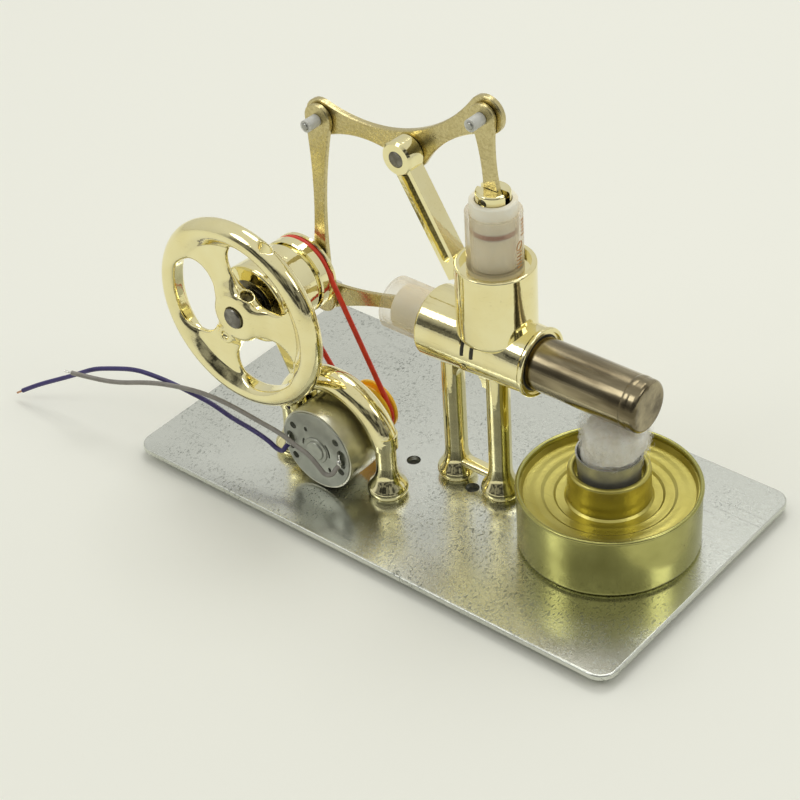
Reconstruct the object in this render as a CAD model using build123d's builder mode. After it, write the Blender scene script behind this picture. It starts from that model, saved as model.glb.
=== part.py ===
"""Tabletop hot-air engine with two glass pistons, a rocker beam, a spirit lamp and a generator.

+X runs along the base towards the lamp, +Y to the back, +Z up. The origin is the middle of the
footprint, on the surface that the rubber feet stand on. Lengths are in millimetres.
"""

from build123d import *
import math
import os

os.makedirs("parts", exist_ok=True)

# Base
base_length = 163.0
base_depth = 88.0
base_thickness = 1.5
base_corner = 5.0
base_edge_round = 0.5
foot_height = 2.5
foot_radius = 4.0
foot_inset = 11.0
accessory_hole_radius = 2.0
accessory_hole_spacing = 20.8
accessory_hole_x = -1.6
accessory_hole_y = -3.6
screw_radius = 1.5
screw_head_radius = 2.6
screw_head_height = 1.5
screw_grip = 6.0
screw_slot = 0.7

# Fits
fit = 0.02
running_gap = 0.05
face_gap = 0.2

# Crank, flywheel and their bearings
crank_x = -48.2
crank_height = 49.8
crank_radius = 9.4
crank_rest_angle = -64.0
shaft_radius = 3.0
shaft_front_reach = 3.5
flywheel_radius = 28.3
flywheel_y = -28.7
rim_width = 6.2
rim_depth = 5.8
rim_crest = 2.9
spoke_width = 9.2
spoke_thickness = 4.4
spoke_root_radius = 8.0
window_outer_round = 6.5
window_inner_round = 3.0
window_edge_round = 1.4
hub_radius = 7.2
hub_front = 2.9
hub_tail = 4.1
hub_tail_radius = 5.2
set_screw_angle = 64.5
set_screw_radius = 1.8
set_screw_boss = 2.5
set_screw_length = 1.8
rim_hole_radius = 2.1
hub_hole_radius = 1.5
hub_hole_boss = 2.8
hub_hole_offset = 9.3
hub_hole_angle = -119.0
bearing_outer_radius = 7.5
bearing_width = 5.0
bearing_race = 1.6
bearing_recess = 0.6
housing_front_radius = 11.6
housing_back_radius = 10.8
housing_front_y = -23.9
housing_length = 15.3

# Belt drive and generator
belt_y = -3.8
belt_radius = 0.75
belt_gap = 0.1
crank_belt_radius = 10.15
motor_belt_radius = 7.0
pulley_lip = 0.85
rear_lip = 1.3
crank_pulley_front = 2.9
crank_spacer_radius = 9.4
crank_spacer_gap = 0.2
motor_pulley_front = 0.9
motor_pulley_hub = 3.0
motor_pulley_hub_length = 3.4
motor_x = -25.9
motor_front_y = -27.7
motor_radius = 12.2
motor_length = 12.3
motor_clearance = 0.5
motor_shaft_radius = 1.0
motor_shaft_grip = 5.0
motor_nose_radius = 3.2
can_wall = 0.5
end_cap_thickness = 1.6
end_cap_step = 4.0
end_cap_step_rise = 0.4
end_cap_boss = 2.9
end_cap_boss_rise = 0.8
terminal_offset = 9.2
terminal_angles = (-177, 5)
terminal_length = 4.2
brush_slot_length = 6.0
brush_slot_width = 2.6
cap_hole_radius = 1.1
cap_hole_offset = 9.4
cap_hole_angles = (38, -23, -147, 147)
cap_slot_width = 1.0
cap_slot_length = 1.5
cap_slot_offset = 6.6
cap_slot_angles = (120, -48)
vent_radius = 4.7
vent_width = 0.6
vent_angles = (17, 165)
vent_spans = (46, 20)
can_notch = 1.3
can_notch_angle = -14.0
can_notch_back = 1.7

# Bracket that carries the bearings and holds the generator
arch_radius = 17.8
arch_y = -18.3
arch_section_radial = 3.5
arch_section_depth = 4.0
leg_angle = 17.24
leg_radius = 2.9
leg_collar = 0.7
bell_radius = 5.6
bell_height = 9.5
arm_root_angle = 128.0
arm_radius = 4.2
arm_depth = 6.6
arm_y = -16.5
web_thickness = 1.2
web_radius = 16.6
web_drop = 3.0

# Cylinders: one lies along X and the other stands over it
engine_y = -0.5
casting_left_x = -3.6
casting_length = 34.9
casting_left_radius = 10.1
casting_right_radius = 9.1
collar_length = 1.6
collar_radius = 9.55
upright_x = 17.0
cup_radius = 10.65
cup_top = 75.7
cup_bore = 9.25
cup_depth = 1.7
cup_blend = 2.5
cup_foot_rise = 3.5
cup_passage = 4.0
glass_radius = 7.4
glass_bore = 6.25
glass_seat = 58.5
upright_glass_length = 32.4
level_glass_left = -17.4
level_glass_length = 30.0
plunger_radius = 6.2
plunger_bore = 4.8
upright_plunger_length = 19.0
level_plunger_length = 34.5
level_plunger_lead = 2.3
piston_ring_width = 2.0
piston_ring_depth = 0.6
upright_ring_offset = 9.1
level_ring_offset = 14.5
insert_radius = 4.6
insert_length = 11.0
insert_rise = 2.1
insert_slot_depth = 5.0
insert_pin_recess = 1.3
displacer_radius = 6.1
displacer_wall = 0.5
displacer_length = 31.0
hot_cap_radius = 7.2
hot_cap_wall = 0.5
hot_cap_left = 21.5
hot_cap_right = 64.1
hot_cap_round = 1.3
gasket_radius = 8.5
gasket_width = 2.0
gasket_recess = 0.6
slit_width = 0.7
slit_length = 5.0
slit_x = 11.8
slit_spacing = 3.7
slit_depth = 0.5
slit_angle = 33.0
mark_x = 12.2
mark_angle = -24.0
mark_radius = 1.2
post_first_x = 1.3
post_spacing = 15.2
post_radius = 3.25
post_bell_radius = 5.5
bridge_radius = 1.5
bridge_height = 5.5
arch_gap_height = 36.0
strut_width = 5.2
strut_depth = 5.0
strut_web = 2.0
strut_foot_drop = 6.5

# Rocker, rods and pins
rod_thickness = 1.5
rocker_thickness = 1.8
rocker_x = -9.9
rocker_height = 98.6
rocker_arm = 30.2
rocker_half_angle = 72.2
rocker_tilt = 18.0
rocker_eye_radius = 5.2
rocker_hub_radius = 5.2
rocker_saddle = 5.3
rocker_flank_radius = 32.0
boss_radius = 4.8
boss_length = 5.7
pivot_radius = 2.25
pivot_head_radius = 3.4
pivot_head_length = 1.2
pin_radius = 1.0
pin_overhang = 4.75
sleeve_radius = 1.7
tail_length = 6.4
long_rod_top_eye = 4.3
long_rod_crank_eye = 4.6
long_rod_waist = 3.8
level_rod_length = 33.0
level_rod_crank_eye = 4.4
level_rod_wrist_eye = 2.6
level_rod_waist = 4.0
link_top_eye = 3.8
link_foot_eye = 2.6
link_waist = 4.2
cross_pin_height = 94.8

# Spirit lamp
lamp_x = 50.8
lamp_y = 1.5
lamp_radius = 24.4
lamp_height = 18.5
lamp_wall = 0.6
lamp_bead = 0.6
lamp_foot_round = 1.5
lid_drop = 3.0
lid_thickness = 0.6
lid_step = 0.5
lid_step_radius = 17.1
neck_foot_radius = 14.0
neck_radius = 11.2
neck_top_radius = 10.9
neck_lip = 1.0
neck_bore = 9.3
neck_height = 8.6
holder_radius = 8.9
holder_foot_radius = 8.3
holder_wall = 0.4
holder_rise = 4.9
holder_depth = 6.0
wick_radius = 7.8
wick_gap = 3.6

# Wires
wire_radius = 0.68
strand_radius = 0.3
strand_length = 2.4

# Worked out from the sizes above
deck_z = foot_height + base_thickness
crank_z = deck_z + crank_height
rocker_z = deck_z + rocker_height
motor_z = deck_z + motor_clearance + motor_radius
motor_back_y = motor_front_y + motor_length
housing_back_y = housing_front_y + housing_length
rod_front_y = engine_y - rod_thickness / 2
rod_back_y = engine_y + rod_thickness / 2
level_rod_front_y = rod_back_y + face_gap
level_rod_back_y = level_rod_front_y + rod_thickness
rocker_front_y = rod_back_y + face_gap
rocker_back_y = rocker_front_y + rocker_thickness
groove_width = 2 * (belt_radius + belt_gap)
pulley_back_y = belt_y + groove_width / 2 + rear_lip
post_x = [post_first_x, post_first_x + post_spacing]
leg_offset = arch_radius * math.cos(math.radians(leg_angle))
leg_x = [motor_x - leg_offset, motor_x + leg_offset]
cup_top_z = deck_z + cup_top
glass_seat_z = deck_z + glass_seat
casting_right_x = casting_left_x + casting_length


def polar(centre_x, centre_z, radius, degrees):
    """A point of the XZ plane at a radius and an angle from a centre."""
    turn = math.radians(degrees)
    return centre_x + radius * math.cos(turn), centre_z + radius * math.sin(turn)


crank_centre = (crank_x, crank_z)
motor_centre = (motor_x, motor_z)
rocker_pivot = (rocker_x, rocker_z)
crank_pin = polar(crank_x, crank_z, crank_radius, crank_rest_angle)
left_pin = polar(rocker_x, rocker_z, rocker_arm, 90 + rocker_tilt + rocker_half_angle)
right_pin = polar(rocker_x, rocker_z, rocker_arm, 90 + rocker_tilt - rocker_half_angle)
level_rod_rise = crank_z - crank_pin[1]
wrist_pin = (crank_pin[0] + math.sqrt(level_rod_length**2 - level_rod_rise**2), crank_z)
cross_pin = (upright_x, deck_z + cross_pin_height)


def finish(piece, label):
    """Label one finished piece and write it under its own name."""
    piece.part.label = label
    export_step(piece.part, f"parts/{label}.step")


def facing_front(point, y, direction=(1, 0)):
    """A plane at a depth y that faces the front, with its own x along a direction of XZ."""
    return Plane(
        origin=(point[0], y, point[1]), x_dir=(direction[0], 0, direction[1]), z_dir=(0, -1, 0)
    )


def side_view(point, y):
    """A plane through an axis that runs along Y: its x is the radius, its y is the depth."""
    return Plane(origin=(point[0], y, point[1]), x_dir=(1, 0, 0), z_dir=(0, 0, 1))


def axis_along_y(point):
    """The axis through a point of the XZ plane, along Y."""
    return Axis((point[0], 0, point[1]), (0, 1, 0))


def bar_outline(length, first_radius, last_radius, waist):
    """Sketch of a bar with a round eye at each end and hollow flanks between them."""
    a = (length**2 + first_radius**2 - last_radius**2) / (2 * length)
    b = (first_radius - last_radius) / length
    slope = 2 * a * b + waist - 2 * first_radius
    rest = a**2 + waist**2 / 4 - first_radius**2
    if abs(b) < 1e-6:
        radius = -rest / slope
    else:
        radius = (-slope - math.sqrt(slope**2 - 4 * b**2 * rest)) / (2 * b**2)
    centre = Vector(a + b * radius, waist / 2 + radius)
    start = centre + (Vector(0, 0) - centre) * (radius / (radius + first_radius))
    end = centre + (Vector(length, 0) - centre) * (radius / (radius + last_radius))
    with BuildSketch(Plane.XY) as outline:
        with BuildLine():
            upper = ThreePointArc((start.X, start.Y), (centre.X, waist / 2), (end.X, end.Y))
            Line(upper @ 1, (end.X, -end.Y))
            lower = ThreePointArc((end.X, -end.Y), (centre.X, -waist / 2), (start.X, -start.Y))
            Line(lower @ 1, upper @ 0)
        make_face()
        Circle(first_radius)
        with Locations((length, 0)):
            Circle(last_radius)
    return outline.sketch


def bar_between(first, last, back_y, first_radius, last_radius, waist, first_bore, last_bore):
    """A flat bar between two pin centres; an eye with a bore of 0 holds its pin as one piece."""
    span = Vector(last[0] - first[0], last[1] - first[1])
    with BuildPart() as bar:
        with BuildSketch(facing_front(first, back_y, (span.X, span.Y))):
            add(bar_outline(span.length, first_radius, last_radius, waist))
        extrude(amount=rod_thickness)
        chamfer(bar.faces().filter_by(Axis.Y).edges(), 0.25)
        for along, bore in [(0, first_bore), (span.length, last_bore)]:
            if bore:
                with BuildSketch(facing_front(first, back_y, (span.X, span.Y))):
                    with Locations((along, 0)):
                        Circle(bore)
                extrude(amount=rod_thickness, mode=Mode.SUBTRACT)
    return bar


def turned_pin(point, front_y, back_y, radius, bore=0.0, rounding=0.0):
    """A pin or a sleeve along Y at a point of the XZ plane."""
    with BuildPart() as pin:
        with BuildSketch(facing_front(point, back_y)):
            Circle(radius)
        extrude(amount=back_y - front_y)
        if rounding:
            chamfer(pin.faces().filter_by(Axis.Y).edges(), rounding)
        if bore:
            with BuildSketch(facing_front(point, back_y)):
                Circle(bore)
            extrude(amount=back_y - front_y, mode=Mode.SUBTRACT)
    return pin


def bell_foot(foot_radius, column_radius, height):
    """Half section of a cast foot that swells out towards the deck."""
    with BuildSketch(Plane.XY) as section:
        with BuildLine():
            heel = Line((0, 0), (foot_radius * 0.85, 0))
            swell = Spline(
                heel @ 1,
                (foot_radius, height * 0.16),
                (column_radius, height),
                tangents=[(1, 0.9), (0, 1)],
            )
            Polyline(swell @ 1, (0, height), (0, 0))
        make_face()
    return section.sketch


# ---- base -----------------------------------------------------------------------------------
accessory_holes = [
    (accessory_hole_x - accessory_hole_spacing / 2, accessory_hole_y),
    (accessory_hole_x + accessory_hole_spacing / 2, accessory_hole_y),
]
screw_places = [(x, engine_y) for x in post_x] + [(x, arch_y) for x in leg_x]

with BuildPart() as base_plate:
    with BuildSketch(Plane.XY.offset(foot_height)):
        RectangleRounded(base_length, base_depth, base_corner)
        with Locations(*accessory_holes):
            Circle(accessory_hole_radius, mode=Mode.SUBTRACT)
        with Locations(*screw_places):
            Circle(screw_radius + running_gap, mode=Mode.SUBTRACT)
    extrude(amount=base_thickness)
    fillet(base_plate.faces().sort_by(Axis.Z)[-1].outer_wire().edges(), base_edge_round)
finish(base_plate, "base_plate")

for side_x, sign_x in [("left", -1), ("right", 1)]:
    for side_y, sign_y in [("front", -1), ("back", 1)]:
        foot_x = sign_x * (base_length / 2 - foot_inset)
        foot_y = sign_y * (base_depth / 2 - foot_inset)
        with BuildPart() as rubber_foot:
            with BuildSketch(Plane.XY):
                with Locations((foot_x, foot_y)):
                    Circle(foot_radius)
            extrude(amount=foot_height)
            fillet(rubber_foot.faces().sort_by(Axis.Z)[0].edges(), 0.6)
        finish(rubber_foot, f"rubber_foot_{side_y}_{side_x}")

for index, place in enumerate(screw_places):
    with BuildPart() as base_screw:
        with BuildSketch(Plane.XY.offset(foot_height)):
            with Locations(place):
                Circle(screw_radius)
        extrude(amount=base_thickness + screw_grip)
        with BuildSketch(Plane.XY.offset(foot_height)):
            with Locations(place):
                Circle(screw_head_radius)
        extrude(amount=-screw_head_height)
        fillet(base_screw.faces().sort_by(Axis.Z)[0].edges(), screw_head_height / 3)
        with BuildSketch(Plane.XY.offset(foot_height - screw_head_height)):
            with Locations(place):
                Rectangle(screw_radius * 2, screw_slot)
                Rectangle(screw_slot, screw_radius * 2)
        extrude(amount=screw_head_height / 2, mode=Mode.SUBTRACT)
    finish(base_screw, f"base_screw_{index + 1}")

# ---- bearing bracket ------------------------------------------------------------------------
arch_start = polar(motor_x, motor_z, arch_radius, leg_angle)
leg_top_z = arch_start[1]
arm_root = polar(motor_x, motor_z, arch_radius, arm_root_angle)
arm_run = Vector(crank_x - arm_root[0], crank_z - arm_root[1])
bearing_bore = bearing_outer_radius + fit

with BuildPart() as bearing_bracket:
    # An oval section turned about the generator's axis makes the arch.
    across = Plane(
        origin=(arch_start[0], arch_y, arch_start[1]),
        x_dir=(arch_start[0] - motor_x, 0, arch_start[1] - motor_z),
        z_dir=(arch_start[1] - motor_z, 0, motor_x - arch_start[0]),
    )
    with BuildSketch(across):
        Ellipse(arch_section_radial, arch_section_depth)
    revolve(
        axis=Axis((motor_x, arch_y, motor_z), (0, -1, 0)),
        revolution_arc=180 - 2 * leg_angle,
    )
    for x in leg_x:
        with BuildSketch(facing_front((x, deck_z), arch_y)):
            add(bell_foot(bell_radius, leg_radius, bell_height))
            with Locations((leg_radius / 2, (bell_height + leg_top_z - deck_z) / 2)):
                Rectangle(leg_radius, leg_top_z - deck_z - bell_height)
        revolve(axis=Axis((x, arch_y, deck_z), (0, 0, 1)))
        with BuildSketch(Plane.XY.offset(leg_top_z)):
            with Locations((x, arch_y)):
                Circle(leg_radius + leg_collar)
        extrude(amount=arch_section_radial * 0.6, both=True)
    # The arm rises from the arch to the bearing housing.
    with BuildSketch(facing_front(arm_root, arm_y + arm_depth / 2, (arm_run.X, arm_run.Y))):
        with Locations((arm_run.length / 2, 0)):
            SlotCenterToCenter(arm_run.length, 2 * arm_radius)
    extrude(amount=arm_depth)
    fillet(bearing_bracket.faces().filter_by(Axis.Y).edges().filter_by(GeomType.LINE), 1.2)
    # Thin web that the generator's nose is seated in.
    with BuildSketch(facing_front(motor_centre, motor_back_y + web_thickness)):
        Circle(web_radius)
        with Locations((0, -web_drop)):
            Rectangle(2 * web_radius, web_radius, align=(Align.CENTER, Align.MAX), mode=Mode.SUBTRACT)
    extrude(amount=web_thickness)
    with BuildSketch(side_view(crank_centre, housing_front_y)):
        with BuildLine():
            Polyline(
                (0, 0),
                (housing_front_radius, 0),
                (housing_back_radius, housing_length),
                (0, housing_length),
                close=True,
            )
        make_face()
    revolve(axis=axis_along_y(crank_centre))
    fillet(
        bearing_bracket.faces().filter_by(Axis.Y).edges().filter_by(
            lambda edge: edge.geom_type == GeomType.CIRCLE and edge.radius > bearing_outer_radius
            and abs(edge.arc_center.X - crank_x) < 0.01
        ),
        0.8,
    )
    with BuildSketch(facing_front(crank_centre, housing_back_y)):
        Circle(shaft_radius + 1.0)
    extrude(amount=housing_length, mode=Mode.SUBTRACT)
    with BuildSketch(facing_front(crank_centre, housing_front_y)):
        Circle(bearing_bore)
    extrude(amount=-bearing_width - bearing_recess, mode=Mode.SUBTRACT)
    with BuildSketch(facing_front(crank_centre, housing_back_y)):
        Circle(bearing_bore)
    extrude(amount=bearing_width + bearing_recess, mode=Mode.SUBTRACT)
    with BuildSketch(facing_front(motor_centre, motor_back_y + web_thickness)):
        Circle(motor_nose_radius + fit)
    extrude(amount=web_thickness, mode=Mode.SUBTRACT)
    for x in leg_x:
        with BuildSketch(Plane.XY.offset(deck_z)):
            with Locations((x, arch_y)):
                Circle(screw_radius + fit)
        extrude(amount=screw_grip + 0.5, mode=Mode.SUBTRACT)
finish(bearing_bracket, "bearing_bracket")

bearing_places = [
    ("front", housing_front_y + bearing_recess),
    ("rear", housing_back_y - bearing_recess - bearing_width),
]
inner_race_radius = shaft_radius + bearing_race
for side, front_y in bearing_places:
    with BuildPart() as bearing_outer:
        with BuildSketch(facing_front(crank_centre, front_y + bearing_width)):
            Circle(bearing_outer_radius)
            Circle(inner_race_radius + running_gap, mode=Mode.SUBTRACT)
        extrude(amount=bearing_width)
        # The shield lies a little below the ring's faces.
        for groove_y, depth in [(front_y, -0.3), (front_y + bearing_width, 0.3)]:
            with BuildSketch(facing_front(crank_centre, groove_y)):
                Circle(bearing_outer_radius - bearing_race)
                Circle(inner_race_radius + running_gap, mode=Mode.SUBTRACT)
            extrude(amount=depth, mode=Mode.SUBTRACT)
    finish(bearing_outer, f"{side}_bearing_outer")
    bearing_inner = turned_pin(
        crank_centre, front_y, front_y + bearing_width, inner_race_radius, shaft_radius + fit
    )
    finish(bearing_inner, f"{side}_bearing_inner")

# ---- flywheel -------------------------------------------------------------------------------
rim_inner_radius = flywheel_radius - rim_depth
crest_radius = flywheel_radius - rim_crest
web_edge_radius = rim_inner_radius - rim_crest / 2
wheel_plane = facing_front(crank_centre, flywheel_y)


def beside_window(edge):
    """True for the edges where a window meets a face of the wheel."""
    centre = edge.center()
    out = math.hypot(centre.X - crank_x, centre.Z - crank_z)
    if edge.geom_type == GeomType.CIRCLE and abs(edge.radius - web_edge_radius) < 0.1:
        return False
    return abs(centre.Y - flywheel_y) > 1.0 and out < rim_inner_radius + 0.6


with BuildPart() as flywheel:
    # The rim and its web are one turned form; three windows leave the spokes.
    with BuildSketch(side_view(crank_centre, flywheel_y)):
        with BuildLine():
            half_rim, half_web = rim_width / 2, spoke_thickness / 2
            Spline(
                (crest_radius, -half_rim),
                (flywheel_radius, 0),
                (crest_radius, half_rim),
                tangents=[(1, 0), (-1, 0)],
            )
            Spline(
                (crest_radius, half_rim), (web_edge_radius, half_web), tangents=[(-1, 0), (-1, 0)]
            )
            Polyline(
                (web_edge_radius, half_web), (0, half_web), (0, -half_web), (web_edge_radius, -half_web)
            )
            Spline(
                (web_edge_radius, -half_web), (crest_radius, -half_rim), tangents=[(1, 0), (1, 0)]
            )
        make_face()
    revolve(axis=axis_along_y(crank_centre))
    with BuildSketch(wheel_plane):
        with BuildSketch(Plane.XY) as windows:
            Circle(rim_inner_radius + 0.4)
            Circle(spoke_root_radius, mode=Mode.SUBTRACT)
            with PolarLocations(0, 3):
                Rectangle(
                    flywheel_radius, spoke_width, align=(Align.MIN, Align.CENTER), mode=Mode.SUBTRACT
                )
            corners = windows.vertices().group_by(lambda corner: round(corner.center().length, 1))
            fillet(corners[-1], window_outer_round)
            corners = windows.vertices().group_by(lambda corner: round(corner.center().length, 1))
            fillet(corners[0], window_inner_round)
    extrude(amount=rim_width, both=True, mode=Mode.SUBTRACT)
    fillet(flywheel.edges().filter_by(beside_window), window_edge_round)
    with BuildSketch(side_view(crank_centre, flywheel_y)):
        with BuildLine():
            Polyline(
                (0, -hub_front),
                (hub_radius - 1.0, -hub_front),
                (hub_radius, 0.5 - hub_front),
                (hub_radius, spoke_thickness / 2),
                (hub_tail_radius, spoke_thickness / 2 + 0.8),
                (hub_tail_radius, hub_tail),
                (0, hub_tail),
                close=True,
            )
        make_face()
    revolve(axis=axis_along_y(crank_centre))
    with BuildSketch(wheel_plane):
        with PolarLocations(hub_hole_offset, 1, hub_hole_angle):
            Circle(hub_hole_boss)
    extrude(amount=hub_front - 0.2, taper=4)
    set_direction = polar(0, 0, 1, set_screw_angle)
    with BuildSketch(
        Plane(
            origin=(crank_x, flywheel_y, crank_z),
            x_dir=(0, 1, 0),
            z_dir=(set_direction[0], 0, set_direction[1]),
        )
    ):
        Circle(set_screw_boss)
    extrude(amount=hub_radius + 0.6)
    with BuildSketch(
        Plane(
            origin=(crank_x, flywheel_y, crank_z),
            x_dir=(0, 1, 0),
            z_dir=(set_direction[0], 0, set_direction[1]),
        )
    ):
        Circle(set_screw_radius + fit)
    extrude(amount=spoke_root_radius + 4, mode=Mode.SUBTRACT)
    with BuildSketch(
        Plane(
            origin=(
                crank_x + (rim_inner_radius - 1) * set_direction[0],
                flywheel_y,
                crank_z + (rim_inner_radius - 1) * set_direction[1],
            ),
            x_dir=(0, 1, 0),
            z_dir=(set_direction[0], 0, set_direction[1]),
        )
    ):
        Circle(rim_hole_radius)
    extrude(amount=rim_depth + 2, mode=Mode.SUBTRACT)
    with BuildSketch(facing_front(crank_centre, flywheel_y)):
        Circle(shaft_radius + fit)
        with PolarLocations(hub_hole_offset, 1, hub_hole_angle):
            Circle(hub_hole_radius)
    extrude(amount=rim_width, both=True, mode=Mode.SUBTRACT)
finish(flywheel, "flywheel")

with BuildPart() as flywheel_screw:
    with BuildSketch(
        Plane(
            origin=(
                crank_x + (shaft_radius + running_gap) * set_direction[0],
                flywheel_y,
                crank_z + (shaft_radius + running_gap) * set_direction[1],
            ),
            x_dir=(0, 1, 0),
            z_dir=(set_direction[0], 0, set_direction[1]),
        )
    ):
        Circle(set_screw_radius)
    extrude(amount=set_screw_length)
    with BuildSketch(flywheel_screw.faces().sort_by(Axis.Z)[-1]):
        RegularPolygon(set_screw_radius * 0.55, 6)
    extrude(amount=-set_screw_length / 2, mode=Mode.SUBTRACT)
finish(flywheel_screw, "flywheel_screw")

crank_shaft = turned_pin(
    crank_centre, flywheel_y - shaft_front_reach, pulley_back_y, shaft_radius, rounding=0.3
)
finish(crank_shaft, "crank_shaft")


def pulley_profile(belt_line_radius, front_depth):
    """Half section of a flanged pulley: x is the radius, y the depth from the belt's centre."""
    bottom = belt_line_radius - belt_radius - belt_gap
    lip = belt_line_radius + pulley_lip
    half = groove_width / 2
    with BuildSketch(Plane.XY) as section:
        with BuildLine():
            Polyline(
                (0, -half - front_depth),
                (lip - 0.4, -half - front_depth),
                (lip, 0.4 - half - front_depth),
                (lip, -half - 0.2),
                (lip - 0.3, -half),
                (bottom + 0.5, -half),
                (bottom, 0.5 - half),
                (bottom, half - 0.5),
                (bottom + 0.5, half),
                (lip - 0.3, half),
                (lip, half + 0.2),
                (lip, half + rear_lip - 0.4),
                (lip - 0.4, half + rear_lip),
                (0, half + rear_lip),
                close=True,
            )
        make_face()
    return section.sketch


with BuildPart() as crank_pulley:
    with BuildSketch(side_view(crank_centre, belt_y)):
        add(pulley_profile(crank_belt_radius, crank_pulley_front))
    revolve(axis=axis_along_y(crank_centre))
    with BuildSketch(facing_front(crank_centre, belt_y)):
        Circle(crank_spacer_radius)
    extrude(amount=belt_y - housing_back_y - crank_spacer_gap)
    with BuildSketch(facing_front(crank_centre, belt_y)):
        Circle(shaft_radius + fit)
    extrude(amount=crank_belt_radius, both=True, mode=Mode.SUBTRACT)
    with BuildSketch(facing_front(crank_pin, pulley_back_y)):
        Circle(pin_radius + fit)
    extrude(amount=rear_lip, mode=Mode.SUBTRACT)
finish(crank_pulley, "crank_pulley")

stub_back_y = rod_front_y - 0.15
crank_pin_stub = turned_pin(crank_pin, pulley_back_y - rear_lip, stub_back_y, pin_radius)
finish(crank_pin_stub, "crank_pin_stub")

# ---- generator ------------------------------------------------------------------------------
with BuildPart() as motor_can:
    with BuildSketch(facing_front(motor_centre, motor_back_y)):
        Circle(motor_radius)
    extrude(amount=motor_length - end_cap_thickness / 4)
    fillet(motor_can.faces().sort_by(Axis.Y)[-1].edges(), 0.8)
    with BuildSketch(facing_front(motor_centre, motor_front_y)):
        Circle(motor_radius - can_wall)
    extrude(amount=-end_cap_thickness, mode=Mode.SUBTRACT)
    with BuildSketch(facing_front(motor_centre, motor_back_y)):
        Circle(motor_nose_radius)
    extrude(amount=-web_thickness - 0.3)
    with BuildSketch(facing_front(motor_centre, motor_back_y + web_thickness + 0.3)):
        Circle(motor_shaft_radius + running_gap)
    extrude(amount=web_thickness + motor_shaft_grip, mode=Mode.SUBTRACT)
    notch_turn = math.radians(can_notch_angle)
    notch_side = (math.cos(notch_turn), math.sin(notch_turn))
    with BuildSketch(
        Plane(
            origin=(
                motor_x + motor_radius * notch_side[0],
                motor_front_y + can_notch_back,
                motor_z + motor_radius * notch_side[1],
            ),
            x_dir=(0, 1, 0),
            z_dir=(notch_side[0], 0, notch_side[1]),
        )
    ):
        Rectangle(can_notch, can_notch, align=(Align.MIN, Align.CENTER))
    extrude(amount=can_wall, both=True, mode=Mode.SUBTRACT)
finish(motor_can, "motor_can")

vents = [
    CenterArc((0, 0), vent_radius, angle - span / 2, span)
    for angle, span in zip(vent_angles, vent_spans)
]
with BuildPart() as motor_end_cap:
    with BuildSketch(facing_front(motor_centre, motor_front_y + end_cap_thickness)):
        Circle(motor_radius - can_wall - fit)
    extrude(amount=end_cap_thickness)
    fillet(motor_end_cap.faces().sort_by(Axis.Y)[0].edges(), 0.3)
    for radius, rise in ((end_cap_step, end_cap_step_rise), (end_cap_boss, end_cap_boss_rise)):
        with BuildSketch(facing_front(motor_centre, motor_front_y)):
            Circle(radius)
        extrude(amount=rise)
        chamfer(motor_end_cap.faces().sort_by(Axis.Y)[0].edges(), end_cap_step_rise / 2)
    with BuildSketch(facing_front(motor_centre, motor_front_y)):
        for angle in terminal_angles:
            with Locations(polar(0, 0, terminal_offset, angle)):
                SlotOverall(brush_slot_length, brush_slot_width, rotation=90)
        with Locations(*[polar(0, 0, cap_hole_offset, angle) for angle in cap_hole_angles]):
            Circle(cap_hole_radius)
        for angle in cap_slot_angles:
            with Locations(polar(0, 0, cap_slot_offset, angle)):
                SlotOverall(cap_slot_length, cap_slot_width, rotation=90)
        for vent in vents:
            SlotArc(vent, vent_width)
    extrude(amount=-end_cap_thickness * 0.75, mode=Mode.SUBTRACT)
finish(motor_end_cap, "motor_end_cap")

for side, angle in zip(("left", "right"), terminal_angles):
    with BuildPart() as motor_terminal:
        with BuildSketch(
            facing_front(polar(motor_x, motor_z, terminal_offset, angle), motor_front_y + end_cap_thickness * 0.75)
        ):
            Rectangle(0.5, terminal_length)
        extrude(amount=end_cap_thickness * 0.75 + 0.9)
    finish(motor_terminal, f"motor_terminal_{side}")

motor_shaft = turned_pin(
    motor_centre, motor_back_y - 3.2, pulley_back_y, motor_shaft_radius, rounding=0.2
)
finish(motor_shaft, "motor_shaft")

with BuildPart() as motor_pulley:
    with BuildSketch(side_view(motor_centre, belt_y)):
        add(pulley_profile(motor_belt_radius, motor_pulley_front))
        with Locations((0, -groove_width / 2 - motor_pulley_front)):
            Rectangle(motor_pulley_hub, motor_pulley_hub_length, align=(Align.MIN, Align.MAX))
    revolve(axis=axis_along_y(motor_centre))
    with BuildSketch(facing_front(motor_centre, belt_y)):
        Circle(motor_shaft_radius + fit)
    extrude(amount=motor_belt_radius, both=True, mode=Mode.SUBTRACT)
finish(motor_pulley, "motor_pulley")

# The belt is a round section swept round the two pulleys along arcs and straight runs.
centre_run = Vector(crank_x - motor_x, crank_z - motor_z)
belt_turn = math.asin((crank_belt_radius - motor_belt_radius) / centre_run.length)
belt_plane = facing_front(motor_centre, belt_y, (centre_run.X, centre_run.Y))
edge_x, edge_y = -math.sin(belt_turn), math.cos(belt_turn)
with BuildPart() as drive_belt:
    with BuildLine(belt_plane) as belt_path:
        near = (motor_belt_radius * edge_x, motor_belt_radius * edge_y)
        far = (centre_run.length + crank_belt_radius * edge_x, crank_belt_radius * edge_y)
        upper_run = Line(near, far)
        big_arc = ThreePointArc(
            far, (centre_run.length + crank_belt_radius, 0), (far[0], -far[1])
        )
        lower_run = Line((far[0], -far[1]), (near[0], -near[1]))
        ThreePointArc((near[0], -near[1]), (-motor_belt_radius, 0), near)
    with BuildSketch(Plane(origin=upper_run @ 0, z_dir=upper_run % 0)):
        Circle(belt_radius)
    sweep(path=belt_path.wire())
finish(drive_belt, "drive_belt")

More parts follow.
